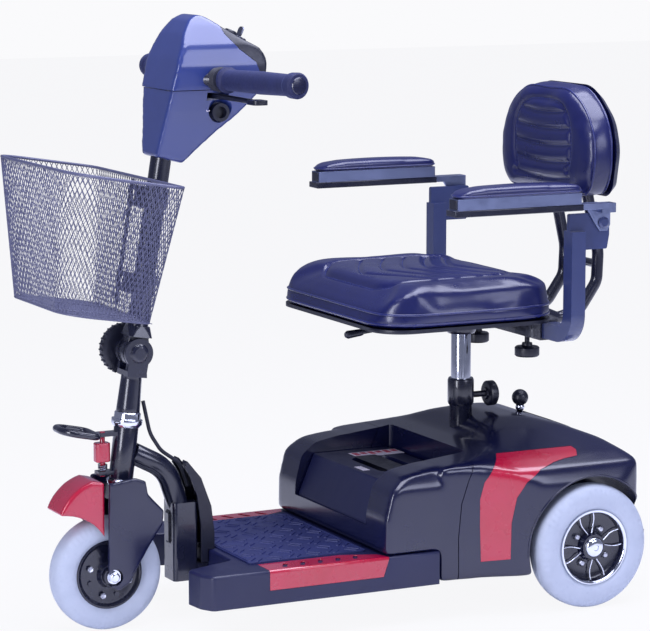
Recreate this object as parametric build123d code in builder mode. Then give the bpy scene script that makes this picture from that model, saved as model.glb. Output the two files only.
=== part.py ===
from build123d import *
import os
from math import cos, radians, sin

os.makedirs("parts", exist_ok=True)

# A compact three-wheeled mobility scooter. Millimetres, +X forward, +Y the driver's left, +Z up.
# The origin is on the ground, midway along and midway across the whole machine.

# Overall sizes
wheelbase = 740.0
rear_overhang = 165.0

# Clearances
running = 0.05
slide_gap = 0.4
body_gap = 0.6
seam = 1.0

# Wheels
front_radius = 89.0
front_width = 45.0
front_rim_radius = 54.0
rear_radius = 100.0
rear_width = 47.0
rear_rim_radius = 60.0
rear_track_half = 212.5
axle_radius = 5.0
half_shaft_radius = 10.0

# Steering head
steer_lean = 7.0
pivot_back = 52.0
pivot_height = 430.0
steerer_radius = 12.5
head_tube_radius = 19.0
head_tube_bore = 15.5
head_tube_low = -197.0
head_tube_high = -116.0
cup_radius = 24.0
upper_cup_height = 23.0
lower_cup_height = 10.0
crown_height = 22.0
collar_low_radius = 18.5
collar_high_radius = 16.0
collar_top = -36.0
cheek_radius = 23.0
cheek_thickness = 9.0
lug_half = 12.0
tilt_bolt_radius = 6.0
dial_radius = 39.0
dial_width = 20.0

# Fork
leg_inner = front_width / 2 + 6.5
leg_thickness = 5.0
cover_thickness = 9.0
fender_half = 28.0

# Tiller, handlebar and head
tiller_lean = 9.13
tiller_radius = 16.0
tiller_length = 432.0
bar_height = 848.0
bar_radius = 11.0
grip_radius = 16.5
grip_span = 558.0
shell_wall = 2.5
basket_height = 212.0
basket_low = 56.0
basket_back = 29.0
basket_bottom_depth = 144.0
basket_top_depth = 179.0
basket_bottom_half = 128.0
basket_top_half = 190.0
basket_wall = 3.0

# Deck and main frame
deck_half = 195.0
deck_low = 60.0
deck_high = 113.0
deck_wall = 4.0
deck_front = -84.0
deck_recess = -165.0
deck_back = -482.0
mat_thickness = 2.5
tube_radius = 17.0
rail_size = 25.0
rail_low = 66.0
rail_half = 100.0
socket_front = -107.0
socket_back = -148.0
socket_top = 190.0

# Seat mast
post_ahead = 114.0
post_radius = 16.0
mast_radius = 18.5
mast_top = 346.0
mast_foot = rail_low
post_low = 196.0
post_high = 440.0

# Body covers
cover_wall = 3.0
cover_split = -515.0
cover_front = -386.0
cover_top = 246.0
apex_height = 293.0
cover_low = 62.0
rear_lip = 128.0
arch_radius = 112.0
fender_out = 228.0
well_half = 128.0
well_back = -560.0
battery_gap = 5.0
battery_high = 216.0

# Seat
seat_half = 203.0
seat_front = 248.0
seat_back = -79.0
seat_low = 464.0
seat_high = 527.0
pan_thickness = 6.0
hub_low = 420.0
receiver_size = 32.0
receiver_height = 440.0
arm_tube = 25.0
arm_back = 76.0
arm_out = 225.0
arm_pivot_back = 122.0
arm_pivot_height = 618.0
rail_height = 641.0
arm_front = 151.0
pad_width = 50.0
back_half = 155.0
back_low = 640.0
back_high = 824.0
back_face = -151.0
back_depth = 61.0
hinge_back = 116.0
hinge_height = 455.0
back_tube_half = 52.0
back_tube_radius = 9.5

# Places along the machine: the basket's front edge and the anti-tip feet are its two ends
basket_reach = (basket_back + basket_top_depth) * cos(radians(tiller_lean))
basket_sweep = (basket_low + basket_height) * sin(radians(tiller_lean))
front_overhang = basket_reach - basket_sweep - pivot_back
overall_length = front_overhang + wheelbase + rear_overhang
front_x = overall_length / 2 - front_overhang
rear_x = front_x - wheelbase
post_x = rear_x + post_ahead


def lean_vector(angle):
    """The upward direction of an axis that leans back by an angle."""
    return (-sin(radians(angle)), 0, cos(radians(angle)))


def leaned_plane(angle):
    """A plane square to a leaned axis, through the tiller's pivot, with its x forward."""
    return Plane(
        origin=(front_x - pivot_back, 0, pivot_height),
        x_dir=(cos(radians(angle)), 0, sin(radians(angle))),
        z_dir=lean_vector(angle),
    )


steer_plane = leaned_plane(steer_lean)
tiller_plane = leaned_plane(tiller_lean)


def side_plane(y):
    """An upright plane along the machine, at a distance to the left, x forward and y up."""
    return Plane(origin=(0, y, 0), x_dir=(1, 0, 0), z_dir=(0, -1, 0))


def plate(points, y, thickness, corner=0.0):
    """A flat plate that stands along the machine, centred at y."""
    with BuildPart() as made:
        with BuildSketch(side_plane(y)) as outline:
            Polygon(*points, align=None)
            if corner:
                fillet(outline.vertices(), corner)
        extrude(amount=thickness / 2, both=True)
    return made.part


def turned(origin, direction, outline):
    """A solid of revolution, from points of (distance along the axis, radius)."""
    along = Vector(*direction).normalized()
    side = Vector(0, 0, 1) if abs(along.Z) < 0.9 else Vector(1, 0, 0)
    with BuildPart() as made:
        with BuildSketch(Plane(origin=origin, x_dir=along, z_dir=along.cross(side))):
            Polygon(*outline, align=None)
        revolve(axis=Axis(origin, direction))
    return made.part


def round_bar(start, end, radius, bore=0.0):
    """A straight round bar or tube between two points."""
    reach = Vector(*end) - Vector(*start)
    outline = [(0, bore), (reach.length, bore), (reach.length, radius), (0, radius)]
    return turned(start, tuple(reach), outline)


def bent_tube(points, bends, radius, bore=0.0):
    """A round tube along straight runs joined by tangent arcs."""
    with BuildPart() as made:
        with BuildLine() as route:
            FilletPolyline(*points, radius=bends)
        with BuildSketch(Plane(origin=route.line @ 0, z_dir=route.line % 0)):
            Circle(radius)
            if bore:
                Circle(bore, mode=Mode.SUBTRACT)
        sweep()
    return made.part


def block(low, high):
    """A box between its lowest and highest corners."""
    size = [b - a for a, b in zip(low, high)]
    with BuildPart(Plane(origin=low)) as made:
        Box(*size, align=(Align.MIN, Align.MIN, Align.MIN))
    return made.part


def rounded_block(low, high, upright=0.0, edges=0.0):
    """A box with rounded upright corners and, if asked, rounded top and bottom edges."""
    size = [b - a for a, b in zip(low, high)]
    middle = [(a + b) / 2 for a, b in zip(low, high)]
    with BuildPart() as made:
        with BuildSketch(Plane(origin=(middle[0], middle[1], low[2]))):
            RectangleRounded(size[0], size[1], upright)
        extrude(amount=size[2])
        if edges:
            fillet(made.faces().filter_by(Axis.Z).edges(), edges)
    return made.part


def hex_bolt(origin, direction, across, height):
    """A hexagon bolt head that sits on a surface."""
    with BuildPart() as made:
        with BuildSketch(Plane(origin=origin, z_dir=direction)):
            RegularPolygon(across / 2, 6, major_radius=False)
        extrude(amount=height)
    return made.part


def joined(*solids):
    """One solid from several that meet or overlap."""
    with BuildPart() as made:
        for solid in solids:
            add(solid)
    return made.part


def less(solid, *cuts):
    """A solid with others taken out of it."""
    with BuildPart() as made:
        add(solid)
        for cut in cuts:
            add(cut, mode=Mode.SUBTRACT)
    return made.part


def common(solid, other):
    """What two solids share."""
    with BuildPart() as made:
        add(solid)
        add(other, mode=Mode.INTERSECT)
    return made.part


def keep(shape, name):
    """Label a finished piece and write it."""
    shape.label = name
    export_step(shape, f"parts/{name}.step")


def along_steer(distance):
    """A point on the steering axis, at a distance above the tiller's pivot."""
    return tuple(steer_plane.from_local_coords((0, 0, distance)))


# ---- main frame: head tube, down tube, rails, rear plates and seat mast, welded together

down_tube = bent_tube(
    [
        (front_x - 48, 0, 272),
        (front_x - 103, 0, 243),
        (front_x - 129, 0, 165),
        (front_x - 130, 0, rail_low + rail_size / 2),
    ],
    60,
    tube_radius,
)
head_tube = round_bar(along_steer(head_tube_low), along_steer(head_tube_high), head_tube_radius)
socket = rounded_block(
    (front_x + socket_back, -22, rail_low),
    (front_x + socket_front, 22, socket_top),
    upright=6,
)
gusset = plate(
    [
        (front_x - 112, 186),
        (front_x - 104, 172),
        (front_x - 104, 128),
        (front_x - 112, 116),
    ],
    0,
    12,
)
spine_back = front_x + deck_recess - 40
spine = block((spine_back, -20, rail_low), (front_x + socket_back + 4, 20, rail_low + rail_size))
rails_back = rear_x + 78


def rail(side):
    """One floor rail, from the front cross tube to the rear plate."""
    inner = side * rail_half - rail_size / 2
    return block(
        (rails_back, inner, rail_low), (spine_back, inner + rail_size, rail_low + rail_size)
    )


def cross_tube(x):
    """A cross tube that joins the two floor rails."""
    reach = rail_half + rail_size / 2
    return block((x - rail_size, -reach, rail_low), (x, reach, rail_low + rail_size))


plate_thickness = 6.0
axle_tube_radius = 22.0
axle_height = rear_radius
rear_plate_y = rail_half + rail_size / 2 - plate_thickness / 2


def rear_plate(side):
    """A rear plate that carries the drive unit's axle tube."""
    outline = [
        (rails_back + 22, rail_low),
        (rails_back + 22, rail_low + rail_size),
        (rear_x + 44, 152),
        (rear_x - 34, 152),
        (rear_x - 40, 92),
        (rear_x - 40, rail_low),
    ]
    return plate(outline, side * rear_plate_y, plate_thickness)


mast = round_bar((post_x, 0, mast_foot), (post_x, 0, mast_top), mast_radius)
mast_collar = turned(
    (post_x, 0, mast_top - 44),
    (0, 0, 1),
    [
        (0, 0),
        (44, 0),
        (44, mast_radius + 1.5),
        (40, mast_radius + 3),
        (4, mast_radius + 3),
        (0, mast_radius + 1),
    ],
)
mast_gussets = [
    plate(
        [
            (post_x + way * mast_radius * 0.8, rail_low),
            (post_x + way * 70, rail_low),
            (post_x + way * 70, rail_low + 12),
            (post_x + way * mast_radius * 0.8, 170),
        ],
        0,
        6,
    )
    for way in (-1, 1)
]
loop_lug_high = 306.0
loop_lug_low = 246.0


def front_lug(height):
    """A lug on the front of the head tube, drilled for the lock pin."""
    root = along_steer((height - pivot_height) / cos(radians(steer_lean)))
    return block((root[0] + 10, -9, height - 3), (front_x + 12, 9, height + 3))


lock_pin_x = front_x + 2.0
lock_pin_radius = 4.0
clamp_screw_height = mast_top - 30
screw_radius = 5.0
steering_bore = round_bar(
    along_steer(head_tube_low - 20), along_steer(head_tube_high + 20), head_tube_bore
)
post_bore = round_bar(
    (post_x, 0, post_low - 40), (post_x, 0, mast_top + 10), post_radius + running
)
pin_bore = round_bar(
    (lock_pin_x, 0, loop_lug_low - 20), (lock_pin_x, 0, loop_lug_high + 20), lock_pin_radius + running
)
screw_bore = round_bar(
    (post_x - 60, 0, clamp_screw_height), (post_x, 0, clamp_screw_height), screw_radius + running
)
axle_bore = round_bar(
    (rear_x, -200, axle_height), (rear_x, 200, axle_height), axle_tube_radius + 0.2
)
main_frame = less(
    joined(
        head_tube,
        down_tube,
        socket,
        gusset,
        spine,
        rail(-1),
        rail(1),
        cross_tube(spine_back + rail_size),
        cross_tube(post_x + rail_size / 2),
        cross_tube(rails_back + rail_size),
        rear_plate(-1),
        rear_plate(1),
        mast,
        mast_collar,
        *mast_gussets,
        front_lug(loop_lug_high),
        front_lug(loop_lug_low),
    ),
    steering_bore,
    post_bore,
    pin_bore,
    screw_bore,
    axle_bore,
)
keep(main_frame, "main_frame")

# ---- headset: chromed races pressed in both ends of the head tube

cup_bore = steerer_radius + running
upper_cup = turned(
    along_steer(head_tube_high),
    lean_vector(steer_lean),
    [
        (0, cup_bore),
        (0, head_tube_radius + 2),
        (5, cup_radius),
        (12, cup_radius),
        (13, cup_radius - 3.5),
        (upper_cup_height - 2, cup_radius - 3.5),
        (upper_cup_height, cup_radius - 5),
        (upper_cup_height, cup_bore),
    ],
)
lower_cup = turned(
    along_steer(head_tube_low - lower_cup_height),
    lean_vector(steer_lean),
    [
        (0, cup_bore),
        (0, cup_radius - 3),
        (lower_cup_height - 3, cup_radius - 1),
        (lower_cup_height, head_tube_radius + 1),
        (lower_cup_height, cup_bore),
    ],
)
keep(joined(upper_cup, lower_cup), "headset_cups")

# ---- steering stem: steerer, tapered collar and the two cheeks of the tilt joint

collar_low = head_tube_high + upper_cup_height + body_gap
steerer_low = head_tube_low - lower_cup_height - body_gap - crown_height
collar = turned(
    along_steer(collar_low),
    lean_vector(steer_lean),
    [
        (0, 0),
        (0, collar_low_radius),
        (collar_top - collar_low, collar_high_radius),
        (collar_top - collar_low, 0),
    ],
)
steerer = round_bar(along_steer(steerer_low), along_steer(collar_low + 2), steerer_radius)
cheek_y = lug_half + slide_gap + cheek_thickness / 2
neck_top = along_steer(-cheek_radius)
neck = plate(
    [
        (neck_top[0] - 15, neck_top[2] - 16),
        (neck_top[0] + 17, neck_top[2] - 12),
        (neck_top[0] + 17, neck_top[2] - 3),
        (neck_top[0] - 15, neck_top[2] - 5),
    ],
    0,
    2 * (cheek_y + cheek_thickness / 2),
)
pivot_point = (front_x - pivot_back, 0, pivot_height)


def cheek(side):
    """One round cheek of the tilt joint, with its stalk down to the neck."""
    inner = side * (lug_half + slide_gap)
    outer = side * (cheek_y + cheek_thickness / 2)
    disc = round_bar(
        (pivot_point[0], inner, pivot_height), (pivot_point[0], outer, pivot_height), cheek_radius
    )
    stalk = plate(
        [
            (neck_top[0] - 15, neck_top[2] - 8),
            (neck_top[0] + 17, neck_top[2] - 6),
            (pivot_point[0] + 17, pivot_height - 6),
            (pivot_point[0] - 17, pivot_height - 6),
        ],
        side * cheek_y,
        cheek_thickness,
    )
    return joined(disc, stalk)


tilt_bore = round_bar(
    (pivot_point[0], -60, pivot_height),
    (pivot_point[0], cheek_y + cheek_thickness / 2 - 3, pivot_height),
    tilt_bolt_radius + running,
)
lug_room = round_bar(
    (pivot_point[0], -lug_half - slide_gap, pivot_height),
    (pivot_point[0], lug_half + slide_gap, pivot_height),
    cheek_radius + body_gap,
)
boss = turned(
    (pivot_point[0], cheek_y + cheek_thickness / 2, pivot_height),
    (0, 1, 0),
    [(-1, 0), (-1, 15), (0, 15), (3, 13), (4.5, 9), (4.5, 0)],
)
steering_stem = less(
    joined(collar, steerer, neck, cheek(-1), cheek(1), boss), lug_room, tilt_bore
)
keep(steering_stem, "steering_stem")

# ---- fork: crown and two flat legs

crown_low = steerer_low
crown_side = leg_inner + leg_thickness
with BuildPart() as crown_block:
    with BuildSketch(steer_plane.offset(crown_low)):
        RectangleRounded(40, 2 * crown_side, 6)
    extrude(amount=crown_height)
crown_bore = round_bar(along_steer(crown_low - 5), along_steer(crown_low + 60), steerer_radius)
crown_point = along_steer(crown_low)


def fork_leg(side):
    """A flat fork leg, drilled for the axle."""
    y = side * (leg_inner + leg_thickness / 2)
    arm = plate(
        [
            (crown_point[0] - 20, crown_point[2] + 6),
            (crown_point[0] + 19, crown_point[2] + 10),
            (front_x + 9, front_radius),
            (front_x - 13, front_radius - 4),
        ],
        y,
        leg_thickness,
    )
    foot = round_bar(
        (front_x, y - leg_thickness / 2, front_radius),
        (front_x, y + leg_thickness / 2, front_radius),
        15,
    )
    hole = round_bar((front_x, y - 10, front_radius), (front_x, y + 10, front_radius), axle_radius)
    return less(joined(arm, foot), hole)


front_fork = less(joined(crown_block.part, fork_leg(-1), fork_leg(1)), crown_bore)
keep(front_fork, "front_fork")

# ---- moulded covers over both fork legs

cover_outline = [
    (front_x + 7, 236),
    (front_x - 36, 241),
    (front_x - 52, 235),
    (front_x - 56, 214),
    (front_x - 82, 186),
    (front_x - 80, 166),
    (front_x - 56, 131),
    (front_x - 42, 108),
    (front_x - 24, 78),
    (front_x - 8, 68),
    (front_x + 6, 74),
    (front_x + 10, 100),
]


def leg_cover(side):
    """A thick moulded cover on one fork leg, with a bolt boss at the axle."""
    inner = leg_inner + leg_thickness
    y = side * (inner + cover_thickness / 2)
    skin = plate(cover_outline, y, cover_thickness, corner=3)
    hole = round_bar((front_x, y - 20, front_radius), (front_x, y + 20, front_radius), 13.0)
    return less(skin, hole)


keep(joined(leg_cover(-1), leg_cover(1)), "fork_covers")

# ---- red front fender: a shell over the front quarter of the wheel


def fender_body(inset):
    """The fender's outer shape, drawn in by an inset."""
    with BuildPart() as made:
        with BuildSketch(side_plane(0)) as outline:
            with BuildLine():
                Polyline(
                    (front_x + 11.5, 150),
                    (front_x + 11.5, 236),
                    (front_x + 30, 240),
                )
                ThreePointArc((front_x + 30, 240), (front_x + 64, 221), (front_x + 84, 190))
                ThreePointArc((front_x + 84, 190), (front_x + 50, 184), (front_x + 11.5, 150))
            make_face()
            if inset:
                offset(amount=-inset)
        extrude(amount=fender_half + 4 - inset, both=True)
    return made.part


fender_wall = 2.5
wheel_room = round_bar(
    (front_x, -fender_half - 1.5, front_radius),
    (front_x, fender_half + 1.5, front_radius),
    front_radius + 8,
)
fender_skirt = plate(
    [
        (front_x + 14, 140),
        (front_x + 14, 152),
        (front_x + 50, 182),
        (front_x + 76, 186),
        (front_x + 76, 150),
    ],
    0,
    2 * (fender_half + 4 - fender_wall),
)
front_fender = less(fender_body(0), fender_body(fender_wall), wheel_room, fender_skirt)
keep(front_fender, "front_fender")

# ---- front wheel: axle, bearings, rim and tyre


def tyre(x, y, z, radius, width, rim_radius):
    """A square-shouldered tyre round a rim."""
    half = width / 2
    return turned(
        (x, y, z),
        (0, 1, 0),
        [
            (-half + 5, rim_radius),
            (-half, rim_radius + 7),
            (-half, radius - 13),
            (-half + 3, radius - 5),
            (-half + 9, radius - 1),
            (-half + 14, radius),
            (half - 14, radius),
            (half - 9, radius - 1),
            (half - 3, radius - 5),
            (half, radius - 13),
            (half, rim_radius + 7),
            (half - 5, rim_radius),
        ],
    )


nut_height = 8.0
axle_end = leg_inner + leg_thickness + nut_height + 3
front_axle = joined(
    round_bar((front_x, -axle_end, front_radius), (front_x, axle_end, front_radius), axle_radius),
    hex_bolt((front_x, axle_end - nut_height - 3, front_radius), (0, 1, 0), 17, nut_height),
    hex_bolt((front_x, -axle_end + nut_height + 3, front_radius), (0, -1, 0), 17, nut_height),
)
keep(front_axle, "front_axle")
keep(
    tyre(front_x, 0, front_radius, front_radius, front_width, front_rim_radius),
    "front_tyre",
)
bearing_radius = 13.0
bearing_width = 10.0
hub_half = leg_inner - 1.5
barrel_half = front_width / 2 - 5
front_rim = turned(
    (front_x, 0, front_radius),
    (0, 1, 0),
    [
        (-hub_half, bearing_radius),
        (-hub_half, bearing_radius + 4),
        (-barrel_half + 1, bearing_radius + 8),
        (-barrel_half + 3, front_rim_radius - 8),
        (-barrel_half - 1, front_rim_radius - 3),
        (-barrel_half, front_rim_radius),
        (barrel_half, front_rim_radius),
        (barrel_half + 1, front_rim_radius - 3),
        (barrel_half - 3, front_rim_radius - 8),
        (barrel_half - 1, bearing_radius + 8),
        (hub_half, bearing_radius + 4),
        (hub_half, bearing_radius),
    ],
)
rim_nut_circle = 34.0
with BuildPart() as rim_nut_set:
    for face in (-1, 1):
        with BuildSketch(
            Plane(
                origin=(front_x, face * (barrel_half - 2.4), front_radius),
                x_dir=(1, 0, 0),
                z_dir=(0, face, 0),
            )
        ):
            with PolarLocations(rim_nut_circle, 4, start_angle=20):
                RegularPolygon(4.5, 6)
        extrude(amount=4.4)
keep(joined(front_rim, rim_nut_set.part), "front_rim")
front_bearings = joined(
    *[
        round_bar(
            (front_x, side * hub_half, front_radius),
            (front_x, side * (hub_half - bearing_width), front_radius),
            bearing_radius,
            axle_radius + running,
        )
        for side in (-1, 1)
    ]
)
keep(front_bearings, "front_bearings")

# ---- tilt clamp: ribbed hand wheel and its bolt

dial_inner = -(cheek_y + cheek_thickness / 2) - 6
dial_body = turned(
    (pivot_point[0], dial_inner, pivot_height),
    (0, -1, 0),
    [
        (0, 0),
        (0, 15),
        (5, 17),
        (6, dial_radius - 5),
        (8, dial_radius),
        (dial_width - 2, dial_radius),
        (dial_width, dial_radius - 4),
        (dial_width - 3, 14),
        (dial_width, 11),
        (dial_width, 0),
    ],
)
rib_count = 28
with BuildPart() as dial_ribs:
    with BuildSketch(
        Plane(
            origin=(pivot_point[0], dial_inner - 7, pivot_height),
            x_dir=(1, 0, 0),
            z_dir=(0, -1, 0),
        )
    ):
        with PolarLocations(dial_radius, rib_count):
            Circle(1.6)
    extrude(amount=dial_width - 9)
tilt_bolt = round_bar(
    (pivot_point[0], dial_inner - 2, pivot_height),
    (pivot_point[0], cheek_y + cheek_thickness / 2 - 3.5, pivot_height),
    tilt_bolt_radius,
)
keep(joined(dial_body, dial_ribs.part, tilt_bolt), "tilt_dial")

# ---- tiller: lug, knuckle housing, tube and handlebar welded on

lug = less(
    round_bar(
        (pivot_point[0], -lug_half, pivot_height),
        (pivot_point[0], lug_half, pivot_height),
        cheek_radius,
    ),
    round_bar(
        (pivot_point[0], -30, pivot_height),
        (pivot_point[0], 30, pivot_height),
        tilt_bolt_radius + running,
    ),
)
with BuildPart() as knuckle:
    with BuildSketch(tiller_plane.offset(cheek_radius + 2.0)):
        RectangleRounded(38, 2 * (cheek_y + cheek_thickness / 2), 5)
    with BuildSketch(tiller_plane.offset(cheek_radius + 18.0)):
        RectangleRounded(2 * tiller_radius + 4, 2 * tiller_radius + 4, 15)
    loft()
with BuildPart() as lug_web:
    with BuildSketch(tiller_plane.offset(10)):
        RectangleRounded(34, 2 * lug_half, 2)
    extrude(amount=cheek_radius - 6)


def on_tiller(x, y, z):
    """A point in the tiller's own frame: x forward of the tube, z up it from the pivot."""
    return tuple(tiller_plane.from_local_coords((x, y, z)))


bar_reach = (bar_height - pivot_height) / cos(radians(tiller_lean))
bar_middle = on_tiller(0, 0, bar_reach)
grip_end_y = grip_span / 2
bar_turn_x = bar_middle[0] - 50
bar_end_x = bar_middle[0] - 80
bar_route = [
    (bar_end_x, -grip_end_y + 8, bar_height + 2),
    (bar_turn_x, -72, bar_height),
    (bar_middle[0], -24, bar_height),
    (bar_middle[0], 24, bar_height),
    (bar_turn_x, 72, bar_height),
    (bar_end_x, grip_end_y - 8, bar_height + 2),
]
handlebar = bent_tube(bar_route, 22, bar_radius)
throttle_pin_radius = 4.0
throttle_axis = (bar_middle[0] - 36, 0, bar_height - 26)
throttle_shelf = block(
    (throttle_axis[0] - 10, -8, bar_height - 16.5), (bar_middle[0] - 4, 8, bar_height - 12.5)
)
throttle_pin = round_bar(
    (throttle_axis[0], 0, throttle_axis[2] - 9), (throttle_axis[0], 0, bar_height - 14), throttle_pin_radius
)
tiller_stem = round_bar(
    on_tiller(0, 0, cheek_radius + 10), on_tiller(0, 0, tiller_length), tiller_radius
)
tiller_tube = joined(
    lug, lug_web.part, knuckle.part, tiller_stem, handlebar, throttle_shelf, throttle_pin
)
keep(
    less(
        tiller_tube,
        round_bar(
            (pivot_point[0], -30, pivot_height),
            (pivot_point[0], 30, pivot_height),
            tilt_bolt_radius + running,
        ),
    ),
    "tiller_tube",
)

# ---- basket bracket: two clamp plates on the tube and two upright rods

bracket_half = 46.0
bracket_front = basket_back - 3.0


def bracket_plate(low, high):
    """A cross plate that clamps round the tiller tube and carries the basket."""
    with BuildPart() as made:
        with BuildSketch(tiller_plane.offset(low)):
            with Locations((bracket_front - 2, 0)):
                Rectangle(4, 2 * bracket_half)
            with Locations(((tiller_radius + bracket_front - 3) / 2 - 2, 0)):
                Rectangle(bracket_front - tiller_radius + 6, 30)
            Circle(tiller_radius + 3.5)
            Circle(tiller_radius, mode=Mode.SUBTRACT)
        extrude(amount=high - low)
        with BuildSketch(
            Plane(
                origin=tiller_plane.from_local_coords((bracket_front, 0, (low + high) / 2)),
                x_dir=(0, 1, 0),
                z_dir=tiller_plane.x_dir,
            )
        ):
            with Locations((-32, 0), (32, 0)):
                Rectangle(20, (high - low) * 0.5)
        extrude(amount=-8, mode=Mode.SUBTRACT)
    return made.part


upper_clamp = (basket_low + basket_height - 46, basket_low + basket_height - 14)
lower_clamp = (basket_low + 34, basket_low + 64)
bracket_rods = [
    round_bar(
        on_tiller(bracket_front - 2, side * 40, lower_clamp[0] - 22),
        on_tiller(bracket_front - 2, side * 40, upper_clamp[1] + 8),
        3,
    )
    for side in (-1, 1)
]
basket_bracket = joined(
    bracket_plate(*upper_clamp), bracket_plate(*lower_clamp), *bracket_rods
)
keep(less(basket_bracket, tiller_stem), "basket_bracket")

# ---- basket: one closed wire-mesh tray shape with its opening


def basket_section(height, depth, half, front_corner, back_corner, inset):
    """The basket's plan outline at a height up the tiller."""
    with BuildSketch(tiller_plane.offset(height)) as section:
        with BuildLine():
            back = basket_back + inset
            front = basket_back + depth - inset
            side = half - inset
            FilletPolyline(
                (back, side),
                (front, side),
                (front, -side),
                (back, -side),
                close=True,
                radius=[back_corner, front_corner, front_corner, back_corner],
            )
        make_face()
    return section.sketch


def basket_body(inset, floor, top):
    """The basket as a tapered solid."""
    with BuildPart() as made:
        add(basket_section(basket_low + floor, basket_bottom_depth, basket_bottom_half, 50, 22, inset))
        add(
            basket_section(
                basket_low + basket_height + top, basket_top_depth, basket_top_half, 66, 26, inset
            )
        )
        loft()
    return made.part


basket = less(basket_body(0, 0, 0), basket_body(basket_wall, basket_wall, 0.5))
keep(basket, "basket")

# ---- head: two glossy shells over the handlebar

head_low = 290.0
head_shell_points = [
    (front_x - 80, 734),
    (front_x - 91, 831),
    (front_x - 106, 877),
    (front_x - 131, 929),
    (front_x - 150, 943),
    (front_x - 172, 938),
    (front_x - 212, 911),
    (front_x - 246, 893),
    (front_x - 252, 866),
    (front_x - 236, 820),
    (front_x - 205, 790),
    (front_x - 172, 764),
    (front_x - 124, 720),
]
head_plan_half = 62.0
head_joint_height = 832.0


def head_body(inset):
    """The head's outer shape: its side view, narrowed towards the tube and towards the top."""
    with BuildPart() as made:
        with BuildSketch(side_plane(0)) as side_view:
            Polygon(*head_shell_points, align=None)
            if inset:
                offset(amount=-inset, kind=Kind.INTERSECTION)
        extrude(amount=head_plan_half, both=True)
        with BuildSketch(Plane(origin=(front_x, 0, 0), x_dir=(0, 1, 0), z_dir=(1, 0, 0))) as rear_view:
            with BuildLine():
                Polyline(
                    (-24, 700), (-31, 735), (-head_plan_half, 830), (-head_plan_half, 890), (-30, 945),
                    (30, 945), (head_plan_half, 890), (head_plan_half, 830), (31, 735), (24, 700),
                    close=True,
                )
            make_face()
            if inset:
                offset(amount=-inset, kind=Kind.INTERSECTION)
        extrude(amount=-300, mode=Mode.INTERSECT)
    return made.part


def slab(low, high):
    """Everything between two heights."""
    return block((front_x - 400, -300, low), (front_x + 100, 300, high))


tube_exit = round_bar(
    on_tiller(0, 0, head_low - 30), on_tiller(0, 0, head_low + 60), tiller_radius + 0.8
)
grip_start = 66.0
bar_direction = Vector(bar_end_x - bar_turn_x, grip_end_y - 8 - 72, 2).normalized()


def on_bar(side, y, shift=0.0):
    """A point on the swept part of the handlebar, at a distance to one side."""
    reach = (y - 72) / bar_direction.Y
    return (
        bar_turn_x + bar_direction.X * reach + shift,
        side * y,
        bar_height + bar_direction.Z * reach,
    )


bar_room = bent_tube(bar_route, 22, bar_radius + 1.5)
throttle_slots = [
    block(
        (throttle_axis[0] - 31, min(side * 40, side * 90), throttle_axis[2] - 5.5),
        (throttle_axis[0] + 1, max(side * 40, side * 90), throttle_axis[2] + 5.5),
    )
    for side in (-1, 1)
]
socket_centre = (front_x - 176, 0, 797)
socket_radius = 14.0
charger_bore = round_bar(
    socket_centre, (socket_centre[0], 90, socket_centre[2]), socket_radius + 0.2
)
head_shell = less(
    head_body(0), head_body(shell_wall), tube_exit, bar_room, *throttle_slots, charger_bore
)
dash_pocket = plate(
    [
        (front_x - 176, 950),
        (front_x - 176, 936),
        (front_x - 214, 904.5),
        (front_x - 260, 884),
        (front_x - 260, 950),
    ],
    0,
    86,
)
head_front_shell = common(head_shell, slab(head_joint_height + seam / 2, 960))
head_rear_shell = common(head_shell, slab(700, head_joint_height - seam / 2))
dash_panel_solid = common(head_body(0.0), dash_pocket)
head_front_shell = less(head_front_shell, dash_pocket)
keep(head_front_shell, "head_upper_shell")
keep(head_rear_shell, "head_lower_shell")

dash_normal = Vector(-20.5, 0, 46).normalized()


def on_dash(back, y, proud):
    """A point on the dash panel's sloping face."""
    start = Vector(front_x - 214, 0, 904.5 + 6.2)
    down = Vector(-46, 0, -20.5).normalized()
    spot = start + down * back + dash_normal * proud
    return (spot.X, y, spot.Z)


normal_tuple = tuple(dash_normal)
dash_holes = [
    round_bar(on_dash(8, -16, -14), on_dash(8, -16, 10), 4 + running),
    round_bar(on_dash(8, 18, -14), on_dash(8, 18, 10), 5 + running),
    round_bar(on_dash(24, 0, -14), on_dash(24, 0, 10), 6 + running),
]
keep(less(dash_panel_solid, *dash_holes), "dash_panel")
speed_dial = turned(
    on_dash(8, -16, -1.5),
    normal_tuple,
    [(-5, 0), (-5, 4), (2.5, 4), (2.5, 10.5), (4, 11), (11, 9.5), (12, 8.5), (12, 0)],
)
keep(speed_dial, "speed_dial")
key_barrel = turned(
    on_dash(8, 18, -1.5), normal_tuple, [(-5, 0), (-5, 5), (2.5, 5), (2.5, 7), (4, 7), (4, 0)]
)
with BuildPart() as key_bow:
    with BuildSketch(
        Plane(origin=on_dash(8, 18, 2), x_dir=(0, 1, 0), z_dir=(Vector(0, 1, 0).cross(dash_normal)))
    ):
        with Locations((0, 8)):
            RectangleRounded(16, 16, 5)
    extrude(amount=1.2, both=True)
keep(joined(key_barrel, key_bow.part), "ignition_key")
horn_button = turned(
    on_dash(24, 0, -1.5), normal_tuple, [(-5, 0), (-5, 6), (5, 6), (6.5, 4.5), (6.5, 0)]
)
keep(horn_button, "horn_button")
charger_socket = turned(
    (socket_centre[0], 56.0 - 12, socket_centre[2]),
    (0, 1, 0),
    [(-16, 0), (-16, 10), (-4, 10), (-4, socket_radius), (11, socket_radius), (11, 9), (2, 8), (2, 0)],
)
keep(charger_socket, "charger_socket")

# ---- grips and the wig-wag throttle lever


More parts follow.
